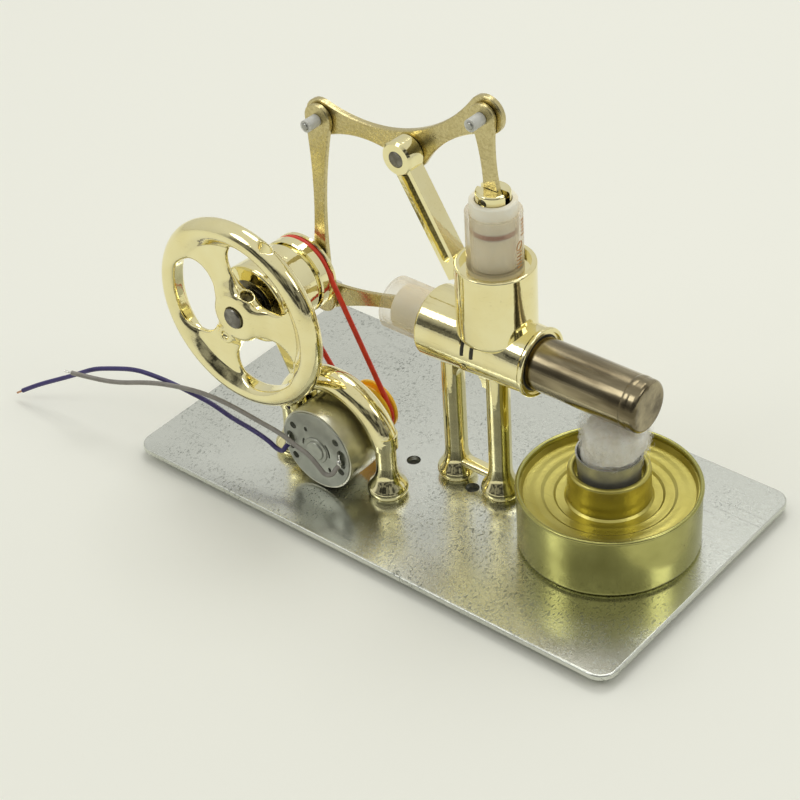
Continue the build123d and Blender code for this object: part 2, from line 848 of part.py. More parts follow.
# ---- engine housing -------------------------------------------------------------------------
engine_axis = Axis((0, engine_y, crank_z), (1, 0, 0))
along_engine = Plane(origin=(0, engine_y, crank_z), x_dir=(1, 0, 0), z_dir=(0, -1, 0))
upright_axis = Axis((upright_x, engine_y, 0), (0, 0, 1))
strut_foot = (upright_x - cup_radius + 1.2, cup_top_z - strut_foot_drop)
strut_run = Vector(rocker_x - strut_foot[0], rocker_z - strut_foot[1])
strut_y = rod_back_y - boss_length / 2
boss_front_y = strut_y - boss_length / 2



def on_cylinder(x, angle):
    """A plane that touches the cylinder's front at x; the angle is counted up from the front."""
    share = (x - casting_left_x) / casting_length
    radius = casting_left_radius + (casting_right_radius - casting_left_radius) * share
    turn = math.radians(angle)
    out = (0, -math.cos(turn), math.sin(turn))
    return Plane(
        origin=(x, engine_y + radius * out[1], crank_z + radius * out[2]), x_dir=(1, 0, 0), z_dir=out
    )


with BuildPart() as engine_housing:
    with BuildSketch(along_engine):
        with BuildLine():
            Polyline(
                (casting_left_x, 0),
                (casting_left_x, casting_left_radius),
                (casting_right_x - collar_length, casting_right_radius),
                (casting_right_x - collar_length * 0.6, collar_radius),
                (casting_right_x, collar_radius),
                (casting_right_x, 0),
                close=True,
            )
        make_face()
    revolve(axis=engine_axis)
    with BuildSketch(facing_front((upright_x, crank_z), engine_y)):
        with BuildLine():
            Polyline((0, 0), (0, cup_top_z - crank_z), (cup_radius, cup_top_z - crank_z))
            Line((cup_radius, cup_top_z - crank_z), (cup_radius, cup_foot_rise + cup_blend))
            RadiusArc(
                (cup_radius, cup_foot_rise + cup_blend),
                (cup_radius - cup_blend, cup_foot_rise),
                cup_blend,
            )
            Polyline((cup_radius - cup_blend, cup_foot_rise), (0, 0))
        make_face()
    revolve(axis=upright_axis)
    fillet(engine_housing.faces().sort_by(Axis.Z)[-1].edges(), 0.5)
    fillet(engine_housing.faces().sort_by(Axis.X)[0].edges(), 0.9)
    fillet(engine_housing.faces().sort_by(Axis.X)[-1].edges(), 0.5)
    # Two posts with bell feet, an arch between their tops and a low bridge between the feet.
    for x in post_x:
        with BuildSketch(facing_front((x, deck_z), engine_y)):
            add(bell_foot(post_bell_radius, post_radius, bell_height))
            with Locations((post_radius / 2, (bell_height + crank_height) / 2)):
                Rectangle(post_radius, crank_height - bell_height)
        revolve(axis=Axis((x, engine_y, deck_z), (0, 0, 1)))
    middle_x = post_first_x + post_spacing / 2
    half_gap = post_spacing / 2 - post_radius
    with BuildSketch(facing_front((middle_x, deck_z), engine_y + post_radius * 0.8)):
        with Locations((0, crank_height)):
            Rectangle(post_spacing, crank_height - arch_gap_height, align=(Align.CENTER, Align.MAX))
        with Locations((0, arch_gap_height)):
            Circle(half_gap, mode=Mode.SUBTRACT)
    extrude(amount=post_radius * 1.6)
    with BuildSketch(
        Plane(origin=(post_x[0], engine_y, deck_z + bridge_height), x_dir=(0, 1, 0), z_dir=(1, 0, 0))
    ):
        Ellipse(bridge_radius * 1.5, bridge_radius)
    extrude(amount=post_spacing)
    # Pivot boss on a grooved strut that leans over from the cup.
    with BuildSketch(facing_front(strut_foot, strut_y + strut_depth / 2, (strut_run.X, strut_run.Y))):
        with Locations((strut_run.length / 2, 0)):
            Rectangle(strut_run.length, strut_width)
    extrude(amount=strut_depth)
    groove_depth = (strut_depth - strut_web) / 2
    for groove_y, depth in [(strut_y - strut_depth / 2, -groove_depth), (strut_y + strut_depth / 2, groove_depth)]:
        with BuildSketch(facing_front(strut_foot, groove_y, (strut_run.X, strut_run.Y))):
            with Locations((strut_run.length / 2 + 0.5, 0)):
                SlotOverall(strut_run.length - boss_radius * 2 + 1, strut_width - 2.6)
        extrude(amount=depth, mode=Mode.SUBTRACT)
    boss_back_y = strut_y + boss_length / 2
    add(turned_pin(rocker_pivot, boss_front_y, boss_back_y, boss_radius, rounding=0.6).part)
    # Bores: pivot, glass seat, cup, passage, barrel seat, displacer way and cap seat.
    with BuildSketch(facing_front(rocker_pivot, strut_y + boss_length / 2)):
        Circle(pivot_radius + fit)
    extrude(amount=boss_length, mode=Mode.SUBTRACT)
    with BuildSketch(Plane(origin=(upright_x, engine_y, cup_top_z))):
        Circle(cup_bore)
    extrude(amount=-cup_depth, mode=Mode.SUBTRACT)
    with BuildSketch(Plane(origin=(upright_x, engine_y, cup_top_z))):
        Circle(glass_radius + fit)
    extrude(amount=glass_seat_z - cup_top_z, mode=Mode.SUBTRACT)
    with BuildSketch(Plane(origin=(upright_x, engine_y, cup_top_z))):
        Circle(cup_passage)
    extrude(amount=crank_z - cup_top_z, mode=Mode.SUBTRACT)
    barrel_end_x = level_glass_left + level_glass_length
    with BuildSketch(along_engine):
        with BuildLine():
            Polyline(
                (casting_left_x, 0),
                (casting_left_x, glass_radius + fit),
                (barrel_end_x, glass_radius + fit),
                (barrel_end_x, hot_cap_radius - hot_cap_wall),
                (hot_cap_left, hot_cap_radius - hot_cap_wall),
                (hot_cap_left, hot_cap_radius + fit),
                (casting_right_x - gasket_width, hot_cap_radius + fit),
                (casting_right_x - gasket_width, gasket_radius + fit),
                (casting_right_x, gasket_radius + fit),
                (casting_right_x, 0),
                close=True,
            )
        make_face()
    revolve(axis=engine_axis, mode=Mode.SUBTRACT)
    for x in post_x:
        with BuildSketch(Plane.XY.offset(deck_z)):
            with Locations((x, engine_y)):
                Circle(screw_radius + fit)
        extrude(amount=screw_grip + 0.5, mode=Mode.SUBTRACT)
    # Two short slits and a small round mark on the cylinder's front.
    for x in (slit_x, slit_x + slit_spacing):
        with BuildSketch(on_cylinder(x, slit_angle)):
            SlotOverall(slit_length, slit_width, rotation=90)
        extrude(amount=-slit_depth, mode=Mode.SUBTRACT)
    with BuildSketch(on_cylinder(mark_x, mark_angle)):
        Circle(mark_radius)
        Circle(mark_radius / 2, mode=Mode.SUBTRACT)
    extrude(amount=slit_depth / 2)
finish(engine_housing, "engine_housing")

# ---- glass, pistons and hot cap -------------------------------------------------------------
def tube_up(centre_x, bottom_z, length, radius, bore, rounding=0.0):
    """A tube that stands on the engine's middle plane."""
    with BuildPart() as tube:
        with BuildSketch(Plane(origin=(centre_x, engine_y, bottom_z))):
            Circle(radius)
            Circle(bore, mode=Mode.SUBTRACT)
        extrude(amount=length)
        if rounding:
            chamfer(tube.faces().filter_by(Axis.Z).edges(), rounding)
    return tube


def tube_along(left_x, length, radius, bore, rounding=0.0):
    """A tube that lies on the engine's axis."""
    with BuildPart() as tube:
        with BuildSketch(Plane(origin=(left_x, engine_y, crank_z), z_dir=(1, 0, 0))):
            Circle(radius)
            Circle(bore, mode=Mode.SUBTRACT)
        extrude(amount=length)
        if rounding:
            chamfer(tube.faces().filter_by(Axis.X).edges(), rounding)
    return tube


finish(tube_up(upright_x, glass_seat_z, upright_glass_length, glass_radius, glass_bore, 0.2), "cold_barrel")
finish(tube_along(level_glass_left, level_glass_length, glass_radius, glass_bore, 0.2), "hot_barrel")

upright_plunger_top = cross_pin[1] - insert_pin_recess + 0.8
level_plunger_left = wrist_pin[0] - level_plunger_lead
cold_insert_foot = cross_pin[1] + insert_rise - insert_length
ring_bed = plunger_radius - piston_ring_depth

with BuildPart() as cold_plunger:
    with BuildSketch(Plane(origin=(upright_x, engine_y, upright_plunger_top))):
        Circle(plunger_radius)
    extrude(amount=-upright_plunger_length)
    chamfer(cold_plunger.faces().filter_by(Axis.Z).edges(), 0.3)
    with BuildSketch(Plane(origin=(upright_x, engine_y, upright_plunger_top))):
        Circle(plunger_bore)
    extrude(amount=cold_insert_foot - upright_plunger_top, mode=Mode.SUBTRACT)
    with BuildSketch(Plane(origin=(upright_x, engine_y, upright_plunger_top - upright_ring_offset))):
        Circle(plunger_radius + 1)
        Circle(ring_bed, mode=Mode.SUBTRACT)
    extrude(amount=piston_ring_width, mode=Mode.SUBTRACT)
finish(cold_plunger, "cold_plunger")
finish(
    tube_up(
        upright_x, upright_plunger_top - upright_ring_offset + fit, piston_ring_width - 2 * fit,
        plunger_radius, ring_bed + fit,
    ),
    "cold_plunger_ring",
)

with BuildPart() as cold_insert:
    with BuildSketch(Plane(origin=(upright_x, engine_y, cold_insert_foot))):
        Circle(insert_radius)
    extrude(amount=insert_length)
    fillet(cold_insert.faces().sort_by(Axis.Z)[-1].edges(), 0.7)
    slot_width = rod_thickness + 2 * face_gap
    with BuildSketch(Plane(origin=(upright_x, engine_y, cross_pin[1] + insert_rise))):
        Rectangle(2 * insert_radius + 2, slot_width)
    extrude(amount=-insert_slot_depth, mode=Mode.SUBTRACT)
    with BuildSketch(facing_front(cross_pin, engine_y)):
        Circle(pin_radius + fit)
    extrude(amount=insert_radius + 1, both=True, mode=Mode.SUBTRACT)
    for cut_y, depth in [(engine_y - insert_radius, -0.8), (engine_y + insert_radius, 0.8)]:
        with BuildSketch(facing_front(cross_pin, cut_y)):
            Circle(insert_pin_recess)
        extrude(amount=depth, mode=Mode.SUBTRACT)
finish(cold_insert, "cold_insert")
finish(turned_pin(cross_pin, engine_y - insert_radius + 0.8, engine_y + insert_radius - 0.8, pin_radius), "cold_cross_pin")

slot_middle_y = (level_rod_front_y + level_rod_back_y) / 2
level_insert_left = wrist_pin[0] - insert_rise
with BuildPart() as hot_plunger:
    with BuildSketch(Plane(origin=(level_plunger_left, engine_y, crank_z), z_dir=(1, 0, 0))):
        Circle(plunger_radius)
    extrude(amount=level_plunger_length)
    chamfer(hot_plunger.faces().filter_by(Axis.X).edges(), 0.3)
    with BuildSketch(Plane(origin=(level_plunger_left, engine_y, crank_z), z_dir=(1, 0, 0))):
        Circle(plunger_bore)
    extrude(amount=level_insert_left + insert_length - level_plunger_left, mode=Mode.SUBTRACT)
    with BuildSketch(Plane(origin=(level_plunger_left + level_ring_offset, engine_y, crank_z), z_dir=(1, 0, 0))):
        Circle(plunger_radius + 1)
        Circle(ring_bed, mode=Mode.SUBTRACT)
    extrude(amount=piston_ring_width, mode=Mode.SUBTRACT)
finish(hot_plunger, "hot_plunger")
finish(
    tube_along(
        level_plunger_left + level_ring_offset + fit, piston_ring_width - 2 * fit,
        plunger_radius, ring_bed + fit,
    ),
    "hot_plunger_ring",
)

with BuildPart() as hot_insert:
    with BuildSketch(Plane(origin=(level_insert_left, engine_y, crank_z), z_dir=(1, 0, 0))):
        Circle(insert_radius)
    extrude(amount=insert_length)
    with BuildSketch(Plane(origin=(level_insert_left, slot_middle_y, crank_z), x_dir=(0, 1, 0), z_dir=(1, 0, 0))):
        Rectangle(slot_width, 2 * insert_radius + 2)
    extrude(amount=insert_slot_depth + 1.4, mode=Mode.SUBTRACT)
    with BuildSketch(facing_front(wrist_pin, engine_y)):
        Circle(pin_radius + fit)
    extrude(amount=insert_radius + 1, both=True, mode=Mode.SUBTRACT)
finish(hot_insert, "hot_insert")
finish(turned_pin(wrist_pin, engine_y - insert_radius + 0.4, engine_y + insert_radius - 0.4, pin_radius), "wrist_pin")

displacer_left = level_plunger_left + level_plunger_length
with BuildPart() as displacer:
    with BuildSketch(Plane(origin=(displacer_left, engine_y, crank_z), z_dir=(1, 0, 0))):
        Circle(displacer_radius)
    extrude(amount=displacer_length)
    fillet(displacer.faces().sort_by(Axis.X)[-1].edges(), 1.5)
    with BuildSketch(Plane(origin=(displacer_left, engine_y, crank_z), z_dir=(1, 0, 0))):
        Circle(displacer_radius - displacer_wall)
    extrude(amount=displacer_length - 1.5, mode=Mode.SUBTRACT)
finish(displacer, "displacer")

with BuildPart() as hot_cap:
    with BuildSketch(Plane(origin=(hot_cap_left, engine_y, crank_z), z_dir=(1, 0, 0))):
        Circle(hot_cap_radius)
    extrude(amount=hot_cap_right - hot_cap_left)
    fillet(hot_cap.faces().sort_by(Axis.X)[-1].edges(), hot_cap_round)
    with BuildSketch(Plane(origin=(hot_cap_left, engine_y, crank_z), z_dir=(1, 0, 0))):
        Circle(hot_cap_radius - hot_cap_wall)
    extrude(amount=hot_cap_right - hot_cap_left - hot_cap_wall, mode=Mode.SUBTRACT)
finish(hot_cap, "hot_cap")

finish(
    tube_along(
        casting_right_x - gasket_width, gasket_width - gasket_recess, gasket_radius, hot_cap_radius + fit
    ),
    "cap_gasket",
)

# ---- rocker, rods and pins ------------------------------------------------------------------
tilt = (math.cos(math.radians(rocker_tilt)), math.sin(math.radians(rocker_tilt)))
eye_x = rocker_arm * math.sin(math.radians(rocker_half_angle))
eye_y = rocker_arm * math.cos(math.radians(rocker_half_angle))
# The saddle arc touches both eyes from above and dips to the saddle height over the pivot.
saddle_gap = eye_y - rocker_saddle
saddle_radius = (eye_x**2 + saddle_gap**2 - rocker_eye_radius**2) / (
    2 * (rocker_eye_radius + saddle_gap)
)
saddle_centre = Vector(0, rocker_saddle + saddle_radius)
eye_centre = Vector(eye_x, eye_y)
eye_share = saddle_radius / (saddle_radius + rocker_eye_radius)
crest = saddle_centre + (eye_centre - saddle_centre) * eye_share
# Each lower flank touches the hub and an eye.
reach = rocker_flank_radius + rocker_eye_radius
chord = eye_centre.normalized()
below = Vector(chord.Y, -chord.X)
flank_centre = eye_centre * 0.5 + below * math.sqrt(reach**2 - (rocker_arm / 2) ** 2)
on_hub = flank_centre + (Vector(0, 0) - flank_centre) * (rocker_flank_radius / reach)
on_eye = flank_centre + (eye_centre - flank_centre) * (rocker_flank_radius / reach)
flank_top = flank_centre - below * rocker_flank_radius

with BuildPart() as rocker_beam:
    with BuildSketch(facing_front(rocker_pivot, rocker_back_y, tilt)):
        with BuildLine():
            ThreePointArc((-crest.X, crest.Y), (0, rocker_saddle), (crest.X, crest.Y))
            Line((crest.X, crest.Y), (on_eye.X, on_eye.Y))
            ThreePointArc((on_eye.X, on_eye.Y), (flank_top.X, flank_top.Y), (on_hub.X, on_hub.Y))
            Line((on_hub.X, on_hub.Y), (-on_hub.X, on_hub.Y))
            ThreePointArc((-on_hub.X, on_hub.Y), (-flank_top.X, flank_top.Y), (-on_eye.X, on_eye.Y))
            Line((-on_eye.X, on_eye.Y), (-crest.X, crest.Y))
        make_face()
        Circle(rocker_hub_radius)
        with Locations((eye_x, eye_y), (-eye_x, eye_y)):
            Circle(rocker_eye_radius)
    extrude(amount=rocker_thickness)
    chamfer(rocker_beam.faces().filter_by(Axis.Y).edges(), 0.3)
    with BuildSketch(facing_front(rocker_pivot, rocker_back_y, tilt)):
        Circle(pivot_radius + running_gap)
        with Locations((eye_x, eye_y), (-eye_x, eye_y)):
            Circle(pin_radius + fit)
    extrude(amount=rocker_thickness, mode=Mode.SUBTRACT)
finish(rocker_beam, "rocker_beam")

with BuildPart() as rocker_pivot_pin:
    with BuildSketch(facing_front(rocker_pivot, rocker_back_y + face_gap)):
        Circle(pivot_radius)
    extrude(amount=rocker_back_y + face_gap - boss_front_y + 0.1)
    fillet(rocker_pivot_pin.faces().sort_by(Axis.Y)[0].edges(), 0.3)
    with BuildSketch(facing_front(rocker_pivot, rocker_back_y + face_gap + pivot_head_length)):
        Circle(pivot_head_radius)
    extrude(amount=pivot_head_length)
    fillet(rocker_pivot_pin.faces().sort_by(Axis.Y)[-1].edges(), 0.4)
finish(rocker_pivot_pin, "rocker_pivot_pin")

pin_front_y = rod_front_y - pin_overhang
sleeve_back_y = rod_front_y - face_gap / 2
sleeve_front_y = pin_front_y + 0.4
finish(turned_pin(left_pin, pin_front_y, rocker_back_y, pin_radius, rounding=0.2), "rocker_left_pin")
finish(
    turned_pin(left_pin, sleeve_front_y, sleeve_back_y, sleeve_radius, pin_radius + fit),
    "rocker_left_sleeve",
)
finish(turned_pin(right_pin, rocker_front_y, rocker_back_y, pin_radius), "rocker_right_plug")
finish(turned_pin(right_pin, pin_front_y, rod_back_y, pin_radius, rounding=0.2), "link_pin")
finish(
    turned_pin(right_pin, sleeve_front_y, sleeve_back_y, sleeve_radius, pin_radius + fit),
    "link_sleeve",
)
short_link = bar_between(
    right_pin, cross_pin, rod_back_y, link_top_eye, link_foot_eye, link_waist,
    pin_radius + fit, pin_radius + running_gap,
)
finish(short_link, "short_link")
long_rod = bar_between(
    left_pin, crank_pin, rod_back_y, long_rod_top_eye, long_rod_crank_eye, long_rod_waist,
    pin_radius + running_gap, 0,
)
finish(long_rod, "long_rod")
level_rod = bar_between(
    crank_pin, wrist_pin, level_rod_back_y, level_rod_crank_eye, level_rod_wrist_eye,
    level_rod_waist, pin_radius + fit, pin_radius + running_gap,
)
finish(level_rod, "level_rod")
tail_back_y = level_rod_front_y + tail_length
with BuildPart() as level_rod_pin:
    add(turned_pin(crank_pin, level_rod_front_y, tail_back_y, pin_radius).part)
    fillet(level_rod_pin.faces().sort_by(Axis.Y)[-1].edges(), pin_radius * 0.7)
finish(level_rod_pin, "level_rod_pin")
finish(
    turned_pin(
        crank_pin, level_rod_back_y + face_gap / 2, tail_back_y - 1.0, sleeve_radius, pin_radius + fit
    ),
    "level_rod_sleeve",
)

# ---- spirit lamp ----------------------------------------------------------------------------
lamp_axis = Axis((lamp_x, lamp_y, 0), (0, 0, 1))
lamp_section = Plane(origin=(lamp_x, lamp_y, deck_z), x_dir=(1, 0, 0), z_dir=(0, -1, 0))
lid_z = lamp_height - lid_drop
lid_edge_radius = lamp_radius - lamp_wall - fit
holder_foot_z = lid_z + neck_height - holder_depth
holder_seat_z = holder_foot_z + holder_depth / 3
holder_top_z = lid_z + neck_height + holder_rise

with BuildPart() as lamp_can:
    with BuildSketch(lamp_section):
        with BuildLine():
            Polyline(
                (0, 0),
                (lamp_radius, 0),
                (lamp_radius, lamp_height - lamp_bead),
                (lamp_radius - lamp_wall, lamp_height - lamp_bead),
                (lamp_radius - lamp_wall, lamp_wall),
                (0, lamp_wall),
                close=True,
            )
        make_face()
        with Locations((lamp_radius - lamp_bead / 2, lamp_height - lamp_bead)):
            Circle(lamp_bead)
    revolve(axis=lamp_axis)
    fillet(lamp_can.faces().sort_by(Axis.Z)[0].edges(), lamp_foot_round)
finish(lamp_can, "lamp_can")

neck_top_z = lid_z + neck_height
with BuildPart() as lamp_lid:
    with BuildSketch(lamp_section):
        with BuildLine():
            Polyline(
                (neck_bore, neck_top_z - neck_lip / 2),
                (neck_bore, holder_seat_z),
                (holder_foot_radius + fit, holder_seat_z),
                (holder_foot_radius + fit, lid_z - lid_thickness - 1.0),
                (lid_edge_radius, lid_z - lid_thickness - 1.0),
                (lid_edge_radius, lamp_height - 2 * lamp_bead - 0.1),
                (lid_edge_radius - lid_thickness, lamp_height - 2 * lamp_bead - 0.1),
                (lid_edge_radius - lid_thickness - 0.6, lid_z),
                (lid_step_radius + 0.8, lid_z),
                (lid_step_radius, lid_z - lid_step),
                (neck_foot_radius + 0.6, lid_z - lid_step),
                (neck_foot_radius, lid_z - 2 * lid_step),
                (neck_radius + 0.6, lid_z - 2 * lid_step),
                (neck_radius, lid_z - lid_step),
                (neck_top_radius, neck_top_z - neck_lip),
            )
            # The lip is rolled over towards the bore.
            ThreePointArc(
                (neck_top_radius, neck_top_z - neck_lip),
                ((neck_top_radius + neck_bore) / 2, neck_top_z),
                (neck_bore, neck_top_z - neck_lip / 2),
            )
        make_face()
    revolve(axis=lamp_axis)
finish(lamp_lid, "lamp_lid")

with BuildPart() as wick_holder:
    with BuildSketch(lamp_section):
        with BuildLine():
            Polyline(
                (0, holder_foot_z),
                (holder_foot_radius, holder_foot_z),
                (holder_foot_radius, lid_z + neck_height),
                (holder_radius, holder_top_z),
                (holder_radius - holder_wall, holder_top_z),
                (holder_foot_radius - holder_wall, lid_z + neck_height),
                (holder_foot_radius - holder_wall, holder_foot_z + holder_wall),
                (0, holder_foot_z + holder_wall),
                close=True,
            )
        make_face()
    revolve(axis=lamp_axis)
finish(wick_holder, "wick_holder")

# The wick stops a set gap below the hot cap.
wick_foot_z = deck_z + holder_foot_z + holder_wall
wick_top_z = crank_z - hot_cap_radius - wick_gap
with BuildPart() as wick:
    with BuildSketch(Plane(origin=(lamp_x, lamp_y, wick_foot_z))):
        Circle(min(wick_radius, holder_foot_radius - holder_wall - fit))
    extrude(amount=wick_top_z - wick_foot_z)
    fillet(wick.faces().sort_by(Axis.Z)[-1].edges(), 2.0)
finish(wick, "wick")

# ---- wires ----------------------------------------------------------------------------------
wire_routes = {
    "blue": [
        (-35.09, -28.6, 15.4),
        (-35.09, -30.2, 15.4),
        (-35.83, -30.5, 13.46),
        (-38.24, -30.6, 13.38),
        (-40.91, -30.6, 14.89),
        (-46.82, -30.7, 16.27),
        (-54.16, -31.0, 17.19),
        (-60.99, -31.5, 19.55),
        (-67.93, -32.2, 20.59),
        (-74.41, -33.0, 21.69),
        (-80.84, -34.0, 22.36),
        (-87.45, -35.2, 22.58),
        (-96.39, -36.6, 19.93),
        (-102.86, -37.8, 17.74),
        (-109.75, -39.3, 13.53),
        (-116.99, -41.0, 9.62),
        (-123.36, -43.2, 6.43),
        (-128.2, -45.0, 3.4),
    ],
    "grey": [
        (-16.73, -28.6, 16.1),
        (-16.73, -30.2, 16.1),
        (-17.16, -31.0, 14.41),
        (-19.69, -31.4, 13.09),
        (-21.92, -31.6, 15.51),
        (-25.05, -31.8, 18.33),
        (-29.26, -31.9, 19.33),
        (-34.4, -32.0, 21.26),
        (-42.16, -32.2, 22.11),
        (-51.79, -32.6, 23.5),
        (-61.08, -33.3, 24.08),
        (-71.21, -34.4, 23.02),
        (-80.91, -36.0, 21.22),
        (-92.88, -38.0, 17.1),
        (-100.77, -40.2, 16.73),
        (-107.25, -42.2, 17.13),
    ],
}


def arc_radii(points):
    """The largest tangent arc at each inner point that its two runs allow."""
    radii = []
    for before, here, after in zip(points, points[1:], points[2:]):
        first = Vector(*here) - Vector(*before)
        second = Vector(*after) - Vector(*here)
        half_turn = math.radians(first.get_angle(second)) / 2
        radii.append(0.45 * min(first.length, second.length) / math.tan(half_turn))
    return radii


for colour, route in wire_routes.items():
    radii = arc_radii(route)
    print(colour, "wire: radii", [round(radius, 1) for radius in radii])
    with BuildPart() as wire:
        with BuildLine() as wire_path:
            FilletPolyline(*route, radius=radii)
        with BuildSketch(Plane(origin=wire_path.wire() @ 0, z_dir=wire_path.wire() % 0)):
            Circle(wire_radius)
        sweep(path=wire_path.wire())
    length = wire_path.wire().length
    share = wire.part.volume / (math.pi * wire_radius**2 * length)
    print(colour, "wire: length", round(length, 2), "volume share", round(share, 4))
    finish(wire, f"wire_{colour}")
    # The bared end runs on in line with the wire.
    with BuildPart() as wire_tip:
        with BuildSketch(Plane(origin=wire_path.wire() @ 1, z_dir=wire_path.wire() % 1)):
            Circle(strand_radius)
        extrude(amount=strand_length)
    finish(wire_tip, f"wire_tip_{colour}")
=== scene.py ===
import bpy, bmesh, math, random
from mathutils import Matrix, Vector, noise


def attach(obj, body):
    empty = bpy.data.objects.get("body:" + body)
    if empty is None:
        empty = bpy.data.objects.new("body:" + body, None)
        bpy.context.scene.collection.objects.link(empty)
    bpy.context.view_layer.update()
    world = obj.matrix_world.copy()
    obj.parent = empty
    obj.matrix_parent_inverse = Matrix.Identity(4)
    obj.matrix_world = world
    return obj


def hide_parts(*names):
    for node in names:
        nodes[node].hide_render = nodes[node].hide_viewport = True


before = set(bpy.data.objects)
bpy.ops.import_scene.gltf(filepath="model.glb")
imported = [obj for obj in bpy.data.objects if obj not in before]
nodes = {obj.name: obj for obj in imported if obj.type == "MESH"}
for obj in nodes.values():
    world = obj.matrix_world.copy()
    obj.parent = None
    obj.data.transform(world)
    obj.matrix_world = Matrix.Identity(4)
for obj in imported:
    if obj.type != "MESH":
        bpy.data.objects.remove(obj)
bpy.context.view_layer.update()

scene = bpy.context.scene
print("frame loaded:", len(nodes), "nodes")

studio = {
    "azimuth": 41.798, "elevation": 36.860, "roll": -3.918, "distance": 0.61533,
    "aimRight": 0.07538, "aimUp": 0.01246, "lens": 96.97, "shift": (-0.0815, -0.044, 0.004),
    "floorColour": (0.93, 0.93, 0.84), "floorSize": 3.0, "floorDrop": 0.0001, "floorRough": 0.6,
    "floorGloss": 0.2, "sky": 1.0, "skyFrom": 0.7, "backdrop": 0.86, "room": 0.04, "roomLight": 0.42,
    "roomSide": (0.10, 0.32), "roomTop": 0.72, "roomTopFade": 0.14, "roomFoot": (0.02, 0.07),
    "clutterScale": 5.0, "clutterDetail": 3.0, "clutterRange": (0.42, 0.60),
    "worldColour": (1.0, 1.0, 0.965), "worldPower": 0.72, "lampsAim": (0, 0, 0.04),
}
lamps = {
    "key": {"place": (-0.25, 0.50, 1.10), "size": 0.55, "power": 2.9},
    "fill": {"place": (0.95, 0.20, 0.90), "size": 0.50, "power": 1.4},
    "front": {"place": (-0.50, -0.80, 0.95), "size": 0.45, "power": 1.5},
}


def setCamera(s):
    a, e, r = (math.radians(s[k]) for k in ("azimuth", "elevation", "roll"))
    back = Vector((math.sin(a) * math.cos(e), -math.cos(a) * math.cos(e), math.sin(e)))
    right = Vector((math.cos(a), math.sin(a), 0))
    up = back.cross(right)
    x = right * math.cos(r) + up * math.sin(r)
    y = up * math.cos(r) - right * math.sin(r)
    place = x * s["aimRight"] + y * s["aimUp"] + back * s["distance"] + Vector(s["shift"])
    data = bpy.data.cameras.new("camera")
    data.lens, data.sensor_width = s["lens"], 36
    data.clip_start, data.clip_end = 0.01, 20
    camera = bpy.data.objects.new("camera", data)
    camera.matrix_world = Matrix.Translation(place) @ Matrix((x, y, back)).transposed().to_4x4()
    scene.collection.objects.link(camera)
    scene.camera = camera


setCamera(studio)
scene.view_settings.view_transform = "Standard"


# small helpers for node trees
def feed(tree, socket, value):
    if isinstance(value, bpy.types.NodeSocket):
        tree.links.new(value, socket)
    else:
        socket.default_value = value


def put(tree, kind, inputs=None, **settings):
    node = tree.nodes.new(kind)
    for key, value in settings.items():
        setattr(node, key, value)
    for key, value in (inputs or {}).items():
        feed(tree, node.inputs[key], value)
    return node


def newMaterial(name):
    mat = bpy.data.materials.new(name)
    mat.use_nodes = True
    tree = mat.node_tree
    coords = put(tree, "ShaderNodeTexCoord").outputs["Object"]
    return mat, tree, tree.nodes["Principled BSDF"], coords


def setPlain(shader, values):
    for key, value in values.items():
        shader.inputs[key].default_value = value


def setGlow(shader, weight, radius, depth):
    setPlain(shader, {"Subsurface Weight": weight, "Subsurface Radius": radius, "Subsurface Scale": depth})


def newGroup(name, inputs, outputs):
    group = bpy.data.node_groups.new(name, "ShaderNodeTree")
    for label, kind, value in inputs:
        socket = group.interface.new_socket(label, in_out="INPUT", socket_type=kind)
        if value is not None:
            socket.default_value = value
    for label, kind in outputs:
        group.interface.new_socket(label, in_out="OUTPUT", socket_type=kind)
    return group, put(group, "NodeGroupInput").outputs, put(group, "NodeGroupOutput").inputs


def fillGroup(tree, group, inputs):
    node = tree.nodes.new("ShaderNodeGroup")
    node.node_tree = group
    for key, value in inputs.items():
        feed(tree, node.inputs[key], value)
    return node.outputs[0]


def mixColour(tree, factor, first, second):
    node = tree.nodes.new("ShaderNodeMix")
    node.data_type = "RGBA"
    feed(tree, node.inputs[0], factor)
    for index, value in ((6, first), (7, second)):
        feed(tree, node.inputs[index], (*value, 1) if isinstance(value, tuple) else value)
    return node.outputs[2]


def number(tree, operation, first, second):
    return put(tree, "ShaderNodeMath", {0: first, 1: second}, operation=operation).outputs[0]


def spread(tree, value, low, high, toLow=0.0, toHigh=1.0):
    return put(tree, "ShaderNodeMapRange", {"Value": value, "From Min": low, "From Max": high,
                                            "To Min": toLow, "To Max": toHigh}).outputs["Result"]


def reachFrom(tree, coords, centre, across):
    # distance from an axis; across is 0 along the axis and 1 the other two ways
    about = put(tree, "ShaderNodeVectorMath", {0: coords, 1: centre}, operation="SUBTRACT").outputs[0]
    flat = put(tree, "ShaderNodeVectorMath", {0: about, 1: across}, operation="MULTIPLY").outputs[0]
    return put(tree, "ShaderNodeVectorMath", {0: flat}, operation="LENGTH").outputs["Value"]


# Shared effects: a cloudy or stretched mask, and fine directional scratches.
scratchSet = {"detail": 2.0, "rough": 0.5, "thin": (0.62, 0.72), "patchScale": 90.0, "patchDetail": 1.0,
              "patches": (0.4, 0.65)}


